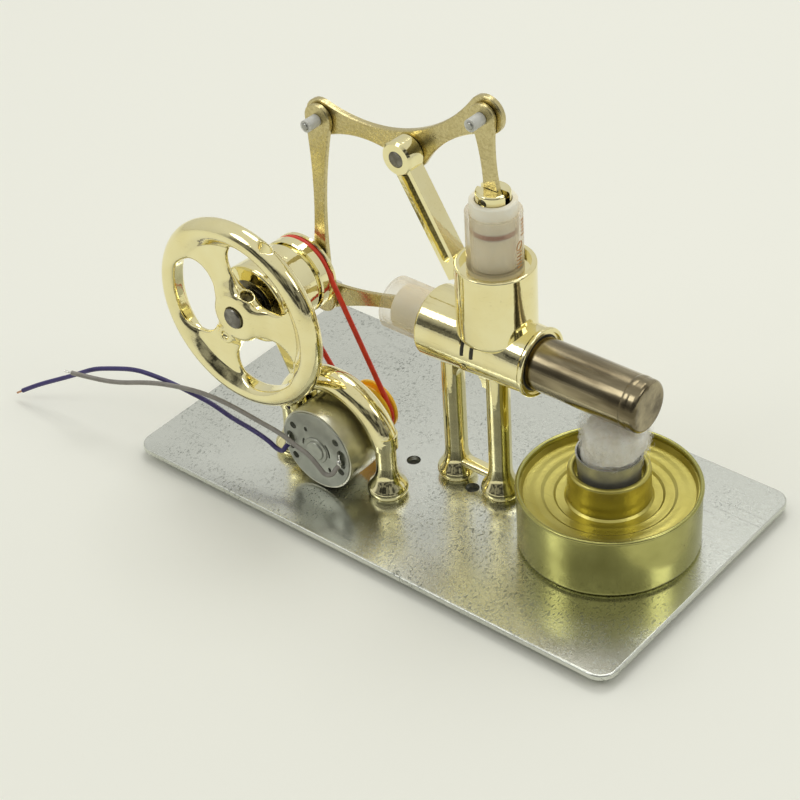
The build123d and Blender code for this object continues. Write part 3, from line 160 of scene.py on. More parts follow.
def makeGrain():
    group, given, result = newGroup("grain", [
        ("Vector", "NodeSocketVector", None), ("Stretch", "NodeSocketVector", (1, 1, 1)),
        ("Scale", "NodeSocketFloat", 300.0), ("Detail", "NodeSocketFloat", 3.0),
        ("Low", "NodeSocketFloat", 0.35), ("High", "NodeSocketFloat", 0.65)],
        [("Mask", "NodeSocketFloat")])
    mapped = put(group, "ShaderNodeMapping", {"Vector": given["Vector"], "Scale": given["Stretch"]})
    cloud = put(group, "ShaderNodeTexNoise", {"Vector": mapped.outputs[0], "Scale": given["Scale"],
                                              "Detail": given["Detail"], "Roughness": 0.6})
    group.links.new(spread(group, cloud.outputs["Fac"], given["Low"], given["High"]), result["Mask"])
    return group


def makeScratches(v):
    group, given, result = newGroup("scratches", [
        ("Vector", "NodeSocketVector", None), ("Turn", "NodeSocketVector", (0, 0, 0)),
        ("Stretch", "NodeSocketVector", (1, 30, 30)), ("Scale", "NodeSocketFloat", 60.0),
        ("Cover", "NodeSocketFloat", 0.5)],
        [("Mask", "NodeSocketFloat")])
    turned = put(group, "ShaderNodeMapping", {"Vector": given["Vector"], "Rotation": given["Turn"],
                                              "Scale": given["Stretch"]})
    lines = put(group, "ShaderNodeTexNoise", {"Vector": turned.outputs[0], "Scale": given["Scale"],
                                              "Detail": v["detail"], "Roughness": v["rough"]})
    patches = put(group, "ShaderNodeTexNoise", {"Vector": given["Vector"], "Scale": v["patchScale"],
                                                "Detail": v["patchDetail"]})
    thin = spread(group, lines.outputs["Fac"], *v["thin"])
    where = spread(group, patches.outputs["Fac"], *v["patches"])
    cover = number(group, "MULTIPLY", number(group, "MULTIPLY", thin, where), given["Cover"])
    group.links.new(cover, result["Mask"])
    return group


grain, scratches = makeGrain(), makeScratches(scratchSet)


# what a finish has where its own line says nothing else
metalUsual = {"cloudStretch": (1, 1, 1), "cloudLow": 0.35, "cloudHigh": 0.65, "lineTurn": (0, 0, 0),
              "lineStretch": (1, 30, 30), "lineScale": 60.0, "lines": 0.3, "lineRough": 0.25,
              "lineDepth": 0.5, "skinScale": 900.0, "skinStretch": (1, 1, 1), "skinDetail": 4.0,
              "bump": 0.1, "depth": 0.0002, "swellScale": 55.0, "metallic": 1.0}
plasticUsual = {"cloudScale": 300.0, "skinScale": 1500.0, "bump": 0.15, "depth": 0.0001, "clear": 0.0,
                "glow": 0.0, "glowRadius": (1.0, 1.0, 1.0), "glowDepth": 0.001}


def metalFinish(name, own):
    # A metal with a cloudy tint, fine lines, and a bump that breaks up its reflections.
    v = {**metalUsual, "lineColour": own["shade"], **own}
    mat, tree, shader, coords = newMaterial(name)
    cloud = fillGroup(tree, grain, {"Vector": coords, "Scale": v["cloudScale"], "Stretch": v["cloudStretch"],
                                    "Low": v["cloudLow"], "High": v["cloudHigh"]})
    lines = fillGroup(tree, scratches, {"Vector": coords, "Turn": v["lineTurn"], "Stretch": v["lineStretch"],
                                        "Scale": v["lineScale"], "Cover": v["lines"]})
    tint = mixColour(tree, cloud, v["colour"], v["shade"])
    tree.links.new(mixColour(tree, lines, tint, v["lineColour"]), shader.inputs["Base Color"])
    rough = number(tree, "ADD", spread(tree, cloud, 0, 1, *v["rough"]),
                   number(tree, "MULTIPLY", lines, v["lineRough"]))
    tree.links.new(rough, shader.inputs["Roughness"])
    skin = fillGroup(tree, grain, {"Vector": coords, "Scale": v["skinScale"], "Stretch": v["skinStretch"],
                                   "Detail": v["skinDetail"], "Low": 0.2, "High": 0.8})
    height = number(tree, "SUBTRACT", skin, number(tree, "MULTIPLY", lines, v["lineDepth"]))
    if "swell" in v:
        swell = fillGroup(tree, grain, {"Vector": coords, "Scale": v["swellScale"], "Detail": 1.0,
                                        "Low": 0.2, "High": 0.8})
        height = number(tree, "ADD", height, number(tree, "MULTIPLY", swell, v["swell"]))
    if "rings" in v:
        reach = reachFrom(tree, coords, (*v["rings"]["centre"], 0), (1, 1, 0))
        turns = number(tree, "MULTIPLY", reach, math.tau / v["rings"]["pitch"])
        wave = number(tree, "SINE", turns, 0.0)
        height = number(tree, "ADD", height, number(tree, "MULTIPLY", wave, v["rings"]["height"]))
    bump = put(tree, "ShaderNodeBump", {"Height": height, "Strength": v["bump"], "Distance": v["depth"]})
    tree.links.new(bump.outputs["Normal"], shader.inputs["Normal"])
    setPlain(shader, {"Metallic": v["metallic"]})
    return mat


def plasticFinish(name, own):
    v = {**plasticUsual, **own}
    mat, tree, shader, coords = newMaterial(name)
    cloud = fillGroup(tree, grain, {"Vector": coords, "Scale": v["cloudScale"]})
    tree.links.new(mixColour(tree, cloud, v["colour"], v["shade"]), shader.inputs["Base Color"])
    tree.links.new(spread(tree, cloud, 0, 1, *v["rough"]), shader.inputs["Roughness"])
    skin = fillGroup(tree, grain, {"Vector": coords, "Scale": v["skinScale"]})
    bump = put(tree, "ShaderNodeBump", {"Height": skin, "Strength": v["bump"], "Distance": v["depth"]})
    tree.links.new(bump.outputs["Normal"], shader.inputs["Normal"])
    setPlain(shader, {"Transmission Weight": v["clear"]})
    setGlow(shader, v["glow"], v["glowRadius"], v["glowDepth"])
    return mat


finishes = {
    "goldPlate": {"colour": (0.91, 0.84, 0.50), "shade": (0.87, 0.78, 0.42), "cloudScale": 90.0,
                  "rough": (0.035, 0.085), "lines": 0.25, "lineColour": (0.42, 0.33, 0.12),
                  "skinScale": 260.0, "bump": 0.10, "depth": 0.0003, "swell": 2.8},
    "bronze": {"colour": (0.64, 0.555, 0.29), "shade": (0.54, 0.46, 0.225), "cloudScale": 1300.0,
               "rough": (0.20, 0.33), "lines": 0.5, "lineColour": (0.36, 0.29, 0.15), "bump": 0.25},
    "canLacquer": {"colour": (0.48, 0.465, 0.165), "shade": (0.36, 0.345, 0.11), "cloudScale": 60.0,
                   "rough": (0.19, 0.27), "lineColour": (0.24, 0.22, 0.08), "bump": 0.08,
                   "skinScale": 500.0, "swell": 0.96},
    "lidLacquer": {"colour": (0.56, 0.50, 0.145), "shade": (0.47, 0.41, 0.105), "cloudScale": 60.0,
                   "rough": (0.27, 0.35), "lineColour": (0.26, 0.22, 0.06), "bump": 0.35, "depth": 0.0001,
                   "rings": {"centre": (0.0508, 0.0015), "pitch": 0.0027, "height": 0.6}},
    "steel": {"colour": (0.50, 0.50, 0.46), "shade": (0.36, 0.36, 0.33), "cloudScale": 400.0,
              "rough": (0.22, 0.36), "lines": 0.4, "lineColour": (0.22, 0.22, 0.20)},
    "darkSteel": {"colour": (0.24, 0.23, 0.20), "shade": (0.14, 0.13, 0.11), "cloudScale": 400.0,
                  "rough": (0.22, 0.38), "lines": 0.4, "lineColour": (0.08, 0.08, 0.07)},
    "nickelCan": {"colour": (0.70, 0.69, 0.58), "shade": (0.60, 0.59, 0.47), "cloudScale": 150.0,
                  "rough": (0.27, 0.38), "lineStretch": (1, 40, 1), "bump": 0.08},
    "capGrey": {"colour": (0.44, 0.45, 0.39), "shade": (0.36, 0.37, 0.32), "cloudScale": 200.0,
                "rough": (0.30, 0.42), "metallic": 0.75, "lineColour": (0.2, 0.2, 0.17)},
    "tintedSteel": {"colour": (0.41, 0.35, 0.22), "shade": (0.135, 0.11, 0.065), "cloudScale": 55.0,
                    "cloudStretch": (0.6, 3, 3), "rough": (0.14, 0.23), "lines": 0.5,
                    "lineStretch": (0.03, 1, 1), "lineScale": 1500.0, "lineColour": (0.12, 0.10, 0.06),
                    "skinScale": 1200.0, "skinStretch": (0.05, 1, 1), "bump": 0.12},
    "brightSteel": {"colour": (0.50, 0.50, 0.47), "shade": (0.38, 0.38, 0.35), "cloudScale": 200.0,
                    "rough": (0.28, 0.40), "metallic": 0.7, "lines": 0.4, "lineStretch": (1, 1, 30)},
    "copper": {"colour": (0.72, 0.42, 0.26), "shade": (0.5, 0.27, 0.15), "cloudScale": 900.0,
               "rough": (0.3, 0.45)},
    "tinned": {"colour": (0.80, 0.80, 0.74), "shade": (0.60, 0.60, 0.54), "cloudScale": 900.0,
               "rough": (0.14, 0.28)},
}
plastics = {
    "blackRubber": {"colour": (0.018, 0.018, 0.018), "shade": (0.03, 0.03, 0.03), "rough": (0.55, 0.7)},
    "redBelt": {"colour": (0.78, 0.050, 0.012), "shade": (0.66, 0.032, 0.010), "rough": (0.30, 0.45),
                "glow": 0.1},
    "orangePulley": {"colour": (1.0, 0.60, 0.016), "shade": (1.0, 0.54, 0.012), "rough": (0.28, 0.4),
                     "glow": 0.1},
    "whiteSleeve": {"colour": (0.80, 0.80, 0.74), "shade": (0.70, 0.70, 0.64), "rough": (0.35, 0.5),
                    "glow": 0.4, "clear": 0.2},
    "blueWire": {"colour": (0.050, 0.035, 0.17), "shade": (0.038, 0.026, 0.13), "rough": (0.3, 0.42)},
    "greyWire": {"colour": (0.30, 0.28, 0.245), "shade": (0.25, 0.23, 0.20), "rough": (0.35, 0.48)},
    "slitShade": {"colour": (0.030, 0.027, 0.012), "shade": (0.018, 0.016, 0.008), "rough": (0.25, 0.4)},
    "scaleInk": {"colour": (0.56, 0.22, 0.022), "shade": (0.46, 0.16, 0.015), "rough": (0.4, 0.55)},
}
mats = {name: metalFinish(name, v) for name, v in finishes.items()}
mats.update({name: plasticFinish(name, v) for name, v in plastics.items()})


def galvanisedPlate(v):
    mat, tree, shader, coords = newMaterial("galvanised")
    cloud = fillGroup(tree, grain, {"Vector": coords, "Scale": v["cloudScale"], "Low": 0.3, "High": 0.7})
    patches = fillGroup(tree, grain, {"Vector": coords, "Scale": v["patchScale"], "Low": 0.35, "High": 0.75})
    flecks = fillGroup(tree, grain, {"Vector": coords, "Scale": v["speckScale"], "Stretch": v["speckStretch"],
                                     "Detail": 2.0, "Low": v["speckLow"], "High": v["speckHigh"]})
    specks = number(tree, "MULTIPLY", flecks, patches)
    rolled = fillGroup(tree, grain, {"Vector": coords, "Scale": v["fineScale"], "Stretch": v["fineStretch"],
                                     "Detail": 5.0, "Low": 0.3, "High": 0.7})
    marks = fillGroup(tree, scratches, {"Vector": coords, "Turn": v["markTurn"], "Stretch": v["markStretch"],
                                        "Scale": v["markScale"], "Cover": v["marks"]})
    tint = mixColour(tree, cloud, v["colour"], v["shade"])
    tint = mixColour(tree, number(tree, "MULTIPLY", specks, v["speckDepth"]), tint, v["speckColour"])
    tree.links.new(mixColour(tree, marks, tint, v["speckColour"]), shader.inputs["Base Color"])
    rough = number(tree, "ADD", spread(tree, cloud, 0, 1, *v["rough"]),
                   number(tree, "MULTIPLY", specks, v["speckRough"]))
    rough = number(tree, "ADD", rough, number(tree, "MULTIPLY", rolled, v["rolledRough"]))
    tree.links.new(rough, shader.inputs["Roughness"])
    height = number(tree, "SUBTRACT", rolled, number(tree, "ADD", specks, marks))
    bump = put(tree, "ShaderNodeBump", {"Height": height, "Strength": v["bump"], "Distance": v["depth"]})
    tree.links.new(bump.outputs["Normal"], shader.inputs["Normal"])
    setPlain(shader, {"Metallic": 1.0})
    return mat


mats["galvanised"] = galvanisedPlate({
    "colour": (0.74, 0.755, 0.69), "shade": (0.61, 0.625, 0.565), "cloudScale": 28.0, "patchScale": 60.0,
    "speckScale": 1900.0, "speckStretch": (1.0, 0.55, 1.0), "speckLow": 0.565, "speckHigh": 0.625,
    "speckDepth": 0.85, "speckColour": (0.10, 0.11, 0.09), "speckRough": 0.2, "fineScale": 700.0,
    "fineStretch": (1, 4, 1), "rolledRough": 0.08, "markTurn": (0, 0, 0.5), "markStretch": (1, 40, 1),
    "markScale": 60.0, "marks": 0.3, "rough": (0.15, 0.23), "bump": 0.04, "depth": 0.0001})


def clearGlass(name, v):
    # Thin clear wall: nearly bare face on, tinted and bright along its edges, ground cream below a height.
    mat, tree, shader, coords = newMaterial(name)
    cloud = fillGroup(tree, grain, {"Vector": coords, "Scale": v["cloudScale"]})
    tint = mixColour(tree, cloud, v["colour"], v["shade"])
    rough = spread(tree, cloud, 0, 1, *v["rough"])
    edge = put(tree, "ShaderNodeLayerWeight", {"Blend": v["edgeBlend"]}).outputs["Facing"]
    alpha = spread(tree, edge, 0, 1, v["faceOn"], v["edgeOn"])
    if "groundBelow" in v:
        height = put(tree, "ShaderNodeSeparateXYZ", {0: coords}).outputs["Z"]
        ground = spread(tree, height, v["groundBelow"] + v["groundFade"], v["groundBelow"])
        tint = mixColour(tree, ground, tint, v["groundColour"])
        rough = number(tree, "ADD", rough, number(tree, "MULTIPLY", ground, v["groundRough"]))
        alpha = number(tree, "MAXIMUM", alpha, number(tree, "MULTIPLY", ground, v["groundCover"]))
    tree.links.new(tint, shader.inputs["Base Color"])
    tree.links.new(rough, shader.inputs["Roughness"])
    tree.links.new(alpha, shader.inputs["Alpha"])
    setPlain(shader, {"IOR": v["ior"]})
    return mat


def groundGlass(name, v):
    mat, tree, shader, coords = newMaterial(name)
    cloud = fillGroup(tree, grain, {"Vector": coords, "Scale": v["cloudScale"]})
    tree.links.new(mixColour(tree, cloud, v["colour"], v["shade"]), shader.inputs["Base Color"])
    tree.links.new(spread(tree, cloud, 0, 1, *v["rough"]), shader.inputs["Roughness"])
    setPlain(shader, {"IOR": v["ior"]})
    setGlow(shader, v["glow"], v["glowRadius"], v["glowDepth"])
    return mat


def pistonRing(name, v):
    # The red ring seen through ground glass: strongest at its middle, lost into the glass at both edges.
    mat, tree, shader, coords = newMaterial(name)
    along = put(tree, "ShaderNodeSeparateXYZ", {0: coords}).outputs[v["axis"]]
    far = number(tree, "ABSOLUTE", number(tree, "SUBTRACT", along, v["middle"]), 0.0)
    mask = spread(tree, far, v["half"], v["half"] * v["solidShare"])
    cloud = fillGroup(tree, grain, {"Vector": coords, "Scale": v["cloudScale"]})
    tint = mixColour(tree, cloud, v["ringColour"], v["ringShade"])
    tree.links.new(mixColour(tree, mask, v["glassColour"], tint), shader.inputs["Base Color"])
    tree.links.new(spread(tree, cloud, 0, 1, *v["rough"]), shader.inputs["Roughness"])
    setGlow(shader, v["glow"], v["glowRadius"], v["glowDepth"])
    return mat


barrelGlass = {"colour": (0.82, 0.72, 0.50), "shade": (0.72, 0.61, 0.40), "cloudScale": 200.0, "ior": 1.5,
               "rough": (0.02, 0.06), "edgeBlend": 0.36, "faceOn": 0.05, "edgeOn": 0.85}
groundFoot = {"groundBelow": 0.0790, "groundFade": 0.0012, "groundColour": (0.97, 0.89, 0.64),
              "groundRough": 0.35, "groundCover": 0.88}
mats["levelGlass"] = clearGlass("levelGlass", barrelGlass)
mats["uprightGlass"] = clearGlass("uprightGlass", {**barrelGlass, **groundFoot})
mats["groundGlass"] = groundGlass("groundGlass", {
    "colour": (1.0, 0.96, 0.79), "shade": (1.0, 0.93, 0.73), "cloudScale": 260.0, "rough": (0.35, 0.48),
    "ior": 1.45, "glow": 0.15, "glowRadius": (1.0, 0.9, 0.75), "glowDepth": 0.006})
ringLook = {"ringColour": (0.42, 0.13, 0.10), "ringShade": (0.34, 0.10, 0.08), "cloudScale": 300.0,
            "glassColour": (0.90, 0.86, 0.74), "half": 0.00098, "solidShare": 0.45, "rough": (0.42, 0.55),
            "glow": 0.5, "glowRadius": (1.0, 0.8, 0.6), "glowDepth": 0.003}
mats["uprightRing"] = pistonRing("uprightRing", {"axis": "Z", "middle": 0.0902, **ringLook})
mats["levelRing"] = pistonRing("levelRing", {"axis": "X", "middle": 0.00102, **ringLook})


def gasketFinish(v):
    # Black rubber lip with the casting's plated seat round it.
    mat, tree, shader, coords = newMaterial("capGasket")
    reach = reachFrom(tree, coords, (0, *v["centre"]), (0, 1, 1))
    seat = spread(tree, reach, v["lip"], v["lip"] + v["lipFade"])
    cloud = fillGroup(tree, grain, {"Vector": coords, "Scale": v["cloudScale"]})
    rubber = mixColour(tree, cloud, v["colour"], v["shade"])
    tree.links.new(mixColour(tree, seat, rubber, v["plate"]), shader.inputs["Base Color"])
    tree.links.new(seat, shader.inputs["Metallic"])
    tree.links.new(spread(tree, seat, 0, 1, *v["rough"]), shader.inputs["Roughness"])
    return mat


mats["capGasket"] = gasketFinish({
    "centre": (-0.0005, 0.0538), "lip": 0.00765, "lipFade": 0.0001, "colour": (0.02, 0.02, 0.017),
    "shade": (0.035, 0.035, 0.03), "cloudScale": 300.0, "plate": (0.88, 0.78, 0.42), "rough": (0.6, 0.12)})

wearing = {
    "galvanised": ["base_plate"],
    "goldPlate": ["bearing_bracket", "engine_housing", "flywheel", "crank_pulley", "cold_insert",
                  "hot_insert"],
    "bronze": ["rocker_beam", "short_link", "long_rod", "level_rod"],
    "canLacquer": ["lamp_can"], "lidLacquer": ["lamp_lid"],
    "steel": ["crank_pin_stub", "motor_shaft", "rocker_left_pin", "rocker_right_plug", "link_pin",
              "level_rod_pin", "base_screw_1", "base_screw_2", "base_screw_3", "base_screw_4"],
    "darkSteel": ["front_bearing_outer", "front_bearing_inner", "rear_bearing_outer", "rear_bearing_inner",
                  "crank_shaft", "rocker_pivot_pin", "cold_cross_pin", "wrist_pin", "flywheel_screw"],
    "nickelCan": ["motor_can"], "capGrey": ["motor_end_cap"], "tintedSteel": ["hot_cap"],
    "brightSteel": ["displacer", "wick_holder"], "copper": ["wire_tip_blue"],
    "tinned": ["wire_tip_grey", "motor_terminal_left", "motor_terminal_right"],
    "blackRubber": ["rubber_foot_front_left", "rubber_foot_front_right", "rubber_foot_back_left",
                    "rubber_foot_back_right"],
    "capGasket": ["cap_gasket"],
    "redBelt": ["drive_belt"], "orangePulley": ["motor_pulley"],
    "whiteSleeve": ["rocker_left_sleeve", "link_sleeve", "level_rod_sleeve"],
    "uprightRing": ["cold_plunger_ring"], "levelRing": ["hot_plunger_ring"],
    "uprightGlass": ["cold_barrel"], "levelGlass": ["hot_barrel"],
    "groundGlass": ["cold_plunger", "hot_plunger"],
}
for finish, names in wearing.items():
    for name in names:
        data = nodes[name].data
        data.materials.clear()
        data.materials.append(mats[finish])
print("finishes set")


def newPiece(name, data, finish, body, smooth=True):
    piece = bpy.data.objects.new(name, data)
    scene.collection.objects.link(piece)
    data.materials.append(mats[finish])
    if smooth and hasattr(data, "polygons"):
        for face in data.polygons:
            face.use_smooth = True
    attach(piece, body)
    return piece


# wires, in millimetres along their middles
wires = {
    "blue": {"finish": "blueWire", "slot": "blue_insulation", "radius": 0.00068, "length": 0.10257,
             "tip": "wire_tip_blue",
             "route": [(-35.09, -28.6, 15.4), (-35.09, -30.2, 15.4), (-35.83, -30.5, 13.46),
                       (-38.24, -30.6, 13.38), (-40.91, -30.6, 14.89), (-46.82, -30.7, 16.27),
                       (-54.16, -31.0, 17.19), (-60.99, -31.5, 19.55), (-67.93, -32.2, 20.59),
                       (-74.41, -33.0, 21.69), (-80.84, -34.0, 22.36), (-87.45, -35.2, 22.58),
                       (-96.39, -36.6, 19.93), (-102.86, -37.8, 17.74), (-109.75, -39.3, 13.53),
                       (-116.99, -41.0, 9.62), (-123.36, -43.2, 6.43), (-128.2, -45.0, 3.4)]},
    "grey": {"finish": "greyWire", "slot": "grey_insulation", "radius": 0.00068, "length": 0.0978,
             "tip": "wire_tip_grey",
             "route": [(-16.73, -28.6, 16.1), (-16.73, -30.2, 16.1), (-17.16, -31.0, 14.41),
                       (-19.69, -31.4, 13.09), (-21.92, -31.6, 15.51), (-25.05, -31.8, 18.33),
                       (-29.26, -31.9, 19.33), (-34.4, -32.0, 21.26), (-42.16, -32.2, 22.11),
                       (-51.79, -32.6, 23.5), (-61.08, -33.3, 24.08), (-71.21, -34.4, 23.02),
                       (-80.91, -36.0, 21.22), (-92.88, -38.0, 17.1), (-100.77, -40.2, 16.73),
                       (-107.25, -42.2, 17.13)]},
}


def makeWire(name, v):
    curve = bpy.data.curves.new("wire_" + name, "CURVE")
    curve.dimensions = "3D"
    curve.bevel_depth, curve.bevel_resolution, curve.resolution_u = v["radius"], 5, 12
    curve.use_fill_caps = True
    spline = curve.splines.new("NURBS")
    spline.points.add(len(v["route"]) - 1)
    for point, place in zip(spline.points, v["route"]):
        point.co = (*(Vector(place) / 1000), 1)
    spline.order_u = 3
    spline.use_endpoint_u = True
    piece = newPiece(name + "_wire", curve, v["finish"], "frame")
    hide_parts("wire_" + name)


for name, v in wires.items():
    makeWire(name, v)
print("wires made")


def meshFrom(bm, name):
    bmesh.ops.remove_doubles(bm, verts=bm.verts, dist=1e-6)
    bmesh.ops.recalc_face_normals(bm, faces=bm.faces)
    data = bpy.data.meshes.new(name)
    bm.to_mesh(data)
    bm.free()
    return data


def tubes(name, paths, radius, corners=0, steps=4, closed=()):
    # Several smooth runs of thin tube in one mesh; paths are lists of points in metres.
    curve = bpy.data.curves.new(name, "CURVE")
    curve.dimensions = "3D"
    curve.bevel_depth, curve.bevel_resolution, curve.resolution_u = radius, corners, steps
    curve.use_fill_caps = True
    for index, path in enumerate(paths):
        spline = curve.splines.new("NURBS")
        spline.points.add(len(path) - 1)
        for point, place in zip(spline.points, path):
            point.co = (*place, 1)
        spline.order_u = 3
        spline.use_cyclic_u = index in closed
        spline.use_endpoint_u = index not in closed
    holder = bpy.data.objects.new(name, curve)
    data = bpy.data.meshes.new_from_object(holder)
    data.name = name
    data.materials.clear()
    bpy.data.objects.remove(holder)
    bpy.data.curves.remove(curve)
    return data


# flywheel: the turned and cut casting, drawn in towards its middle plane so that the rim stands up round
wheel = {"centre": (-0.0482, 0.0538), "plane": -0.0282, "voxel": 0.00032, "hub": 0.0072, "hubEnd": 0.0115,
         "web": 0.46, "crest": 0.0250, "rimIn": 0.0048, "rimOut": 0.00375, "smooth": 5,
         "rimHole": {"angle": 64.0, "reach": 0.0268, "plane": -0.0296, "tilt": 32.0, "radius": 0.0021,
                     "depth": 0.0058, "lead": 0.0022},
         "hubHole": {"angle": -119.0, "reach": 0.0093, "plane": -0.0282, "radius": 0.0015, "depth": 0.012}}


def evaluated(holder):
    data = bpy.data.meshes.new_from_object(holder.evaluated_get(bpy.context.evaluated_depsgraph_get()))
    bpy.data.objects.remove(holder)
    return data


def placed(name, data):
    holder = bpy.data.objects.new(name, data)
    scene.collection.objects.link(holder)
    return holder


def ease(value, low, high, height=1.0):
    t = min(max((value - low) / (high - low), 0), 1)
    return height * t * t * (3 - 2 * t)


def drill(bm, centre, hole):
    # a round cutter, square to the wheel or leaning outwards over its rim
    a = math.radians(hole["angle"])
    place = Vector((centre[0] + hole["reach"] * math.cos(a), hole["plane"],
                    centre[1] + hole["reach"] * math.sin(a)))
    turn = Matrix.Rotation(math.pi / 2, 4, "X")
    if "tilt" in hole:
        t = math.radians(hole["tilt"])
        outward = Vector((math.cos(a) * math.cos(t), -math.sin(t), math.sin(a) * math.cos(t)))
        turn = outward.to_track_quat("Z", "Y").to_matrix().to_4x4()
        place += outward * hole["lead"]
    bmesh.ops.create_cone(bm, cap_ends=True, segments=48, radius1=hole["radius"], radius2=hole["radius"],
                          depth=hole["depth"], matrix=Matrix.Translation(place) @ turn)


def makeFlywheel(v):
    bm = bmesh.new()
    bm.from_mesh(nodes["flywheel"].data)
    holder = placed("flywheel_start", meshFrom(bm, "flywheel_start"))
    fine = holder.modifiers.new("fine", "REMESH")
    fine.mode, fine.voxel_size = "VOXEL", v["voxel"]
    bm = bmesh.new()
    bm.from_mesh(evaluated(holder))
    for vert in bm.verts:
        r = math.hypot(vert.co.x - v["centre"][0], vert.co.z - v["centre"][1])
        side = v["rimOut"] if r > v["crest"] else v["rimIn"]
        rim = math.sqrt(max(1 - ((r - v["crest"]) / side) ** 2, 0))
        hub = 1 - ease(r, v["hub"], v["hubEnd"])
        share = max(v["web"], rim, v["web"] + (1 - v["web"]) * hub)
        vert.co.y = v["plane"] + (vert.co.y - v["plane"]) * share
    holder = placed("flywheel_drawn", meshFrom(bm, "flywheel_drawn"))
    bm = bmesh.new()
    drill(bm, v["centre"], v["rimHole"])
    drill(bm, v["centre"], v["hubHole"])
    cutter = placed("wheel_cutter", meshFrom(bm, "wheel_cutter"))
    cut = holder.modifiers.new("holes", "BOOLEAN")
    cut.operation, cut.object, cut.solver = "DIFFERENCE", cutter, "FAST"
    fine = holder.modifiers.new("fine", "REMESH")
    fine.mode, fine.voxel_size = "VOXEL", v["voxel"]
    bm = bmesh.new()
    bm.from_mesh(evaluated(holder))
    bpy.data.objects.remove(cutter)
    for turn in range(v["smooth"]):
        bmesh.ops.smooth_vert(bm, verts=bm.verts, factor=0.5,
                              use_axis_x=True, use_axis_y=True, use_axis_z=True)
    piece = newPiece("cast_flywheel", meshFrom(bm, "cast_flywheel"), "goldPlate", "crank")
    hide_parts("flywheel")


makeFlywheel(wheel)
print("flywheel made")


# small drilled boss beside the flywheel's hub, its outline in millimetres
hubEye = {"place": (-0.0527, 0.0461), "steps": 64,
          "profile": [(0, -30.3), (1.25, -30.3), (1.25, -31.0), (1.4, -31.25), (2.1, -31.25), (2.55, -30.95),
                      (2.9, -29.8), (3.5, -28.8), (3.5, -28.0), (0, -28.0)]}


def makeHubEye(v):
    bm = bmesh.new()
    rows = [bm.verts.new((r / 1000, y / 1000, 0)) for r, y in v["profile"]]
    edges = [bm.edges.new(pair) for pair in zip(rows, rows[1:])]
    bmesh.ops.spin(bm, geom=rows + edges, cent=(0, 0, 0), axis=(0, 1, 0), angle=math.tau, steps=v["steps"],
                   use_merge=True, use_duplicate=False)
    bmesh.ops.translate(bm, verts=bm.verts, vec=(v["place"][0], 0, v["place"][1]))
    newPiece("hub_eye", meshFrom(bm, "hub_eye"), "goldPlate", "crank")


makeHubEye(hubEye)
print("hub boss made")


# bead pressed round the hot cap near its end
bead = {"axis": (-0.0005, 0.0538), "radius": 0.00716, "at": 0.0604, "wide": 0.0010, "high": 0.00016,
        "segments": 20, "steps": 128}


def makeCapBead(v):
    bm = bmesh.new()
    bmesh.ops.create_circle(bm, segments=v["segments"], radius=1.0)
    for vert in bm.verts:
        vert.co = Vector((v["at"] + v["wide"] * vert.co.x, v["axis"][0],
                          v["axis"][1] + v["radius"] + v["high"] * vert.co.y))
    bmesh.ops.spin(bm, geom=bm.verts[:] + bm.edges[:], cent=(0, *v["axis"]), axis=(1, 0, 0), angle=math.tau,
                   steps=v["steps"], use_merge=True, use_duplicate=False)
    newPiece("cap_bead", meshFrom(bm, "cap_bead"), "tintedSteel", "frame")


makeCapBead(bead)
print("cap bead made")


# two narrow slits left by the casting, on the front of the level cylinder, drawn as thin near-black tubes of
# painted shade where the open slits are
slits = {"axis": (-0.0005, 0.0538), "radius": 0.00944, "places": (0.0124, 0.0154), "from": 133, "to": 178,
         "points": 7, "width": 0.00058}


def makeSlitShade(v):
    turns = [math.radians(v["from"] + (v["to"] - v["from"]) * i / (v["points"] - 1))
             for i in range(v["points"])]
    paths = [[(x, v["axis"][0] + v["radius"] * math.cos(a), v["axis"][1] + v["radius"] * math.sin(a))
              for a in turns] for x in v["places"]]
    # painted shade: near-black tubes laid on the cylinder in place of the slits' shaded hollows
    data = tubes("slit_shade_tubes", paths, v["width"], corners=3, steps=6)
    newPiece("slit_shade_tubes", data, "slitShade", "frame")


makeSlitShade(slits)
print("slits made")


# solder on the motor's two terminals
solder = {"radius": 0.00115, "flat": (0.75, 0.75, 1.15), "lump": 0.22, "lumpScale": 1500,
          "places": {"left": (-35.09, -28.75, 15.9), "right": (-16.74, -28.75, 16.7)}}


def makeSolder(side, place, v):
    bm = bmesh.new()
    bmesh.ops.create_icosphere(bm, subdivisions=4, radius=v["radius"])
    for vert in bm.verts:
        swell = noise.noise(vert.co * v["lumpScale"] + Vector(place))
        vert.co = Vector([c * f for c, f in zip(vert.co * (1 + v["lump"] * swell), v["flat"])])
    bmesh.ops.translate(bm, verts=bm.verts, vec=Vector(place) / 1000)
    newPiece("solder_" + side, meshFrom(bm, "solder_" + side), "tinned", "frame")


for side, place in solder["places"].items():
    makeSolder(side, place, solder)
print("solder made")


# printed scale on the upright barrel: short marks and a plain nought, in millimetres and degrees
scaleMarks = {"axis": (17.0, -0.5), "radius": 7.44, "line": 0.00011, "pitch": 1.05, "markPoints": 5,
              "rows": [{"low": 80.6, "count": 5, "from": -4, "to": 11},
                       {"low": 89.2, "count": 5, "from": 12, "to": 24}],
              "nought": (4.0, 86.7), "noughtSize": (8.0, 1.15), "noughtLean": 3.0, "noughtPoints": 12}


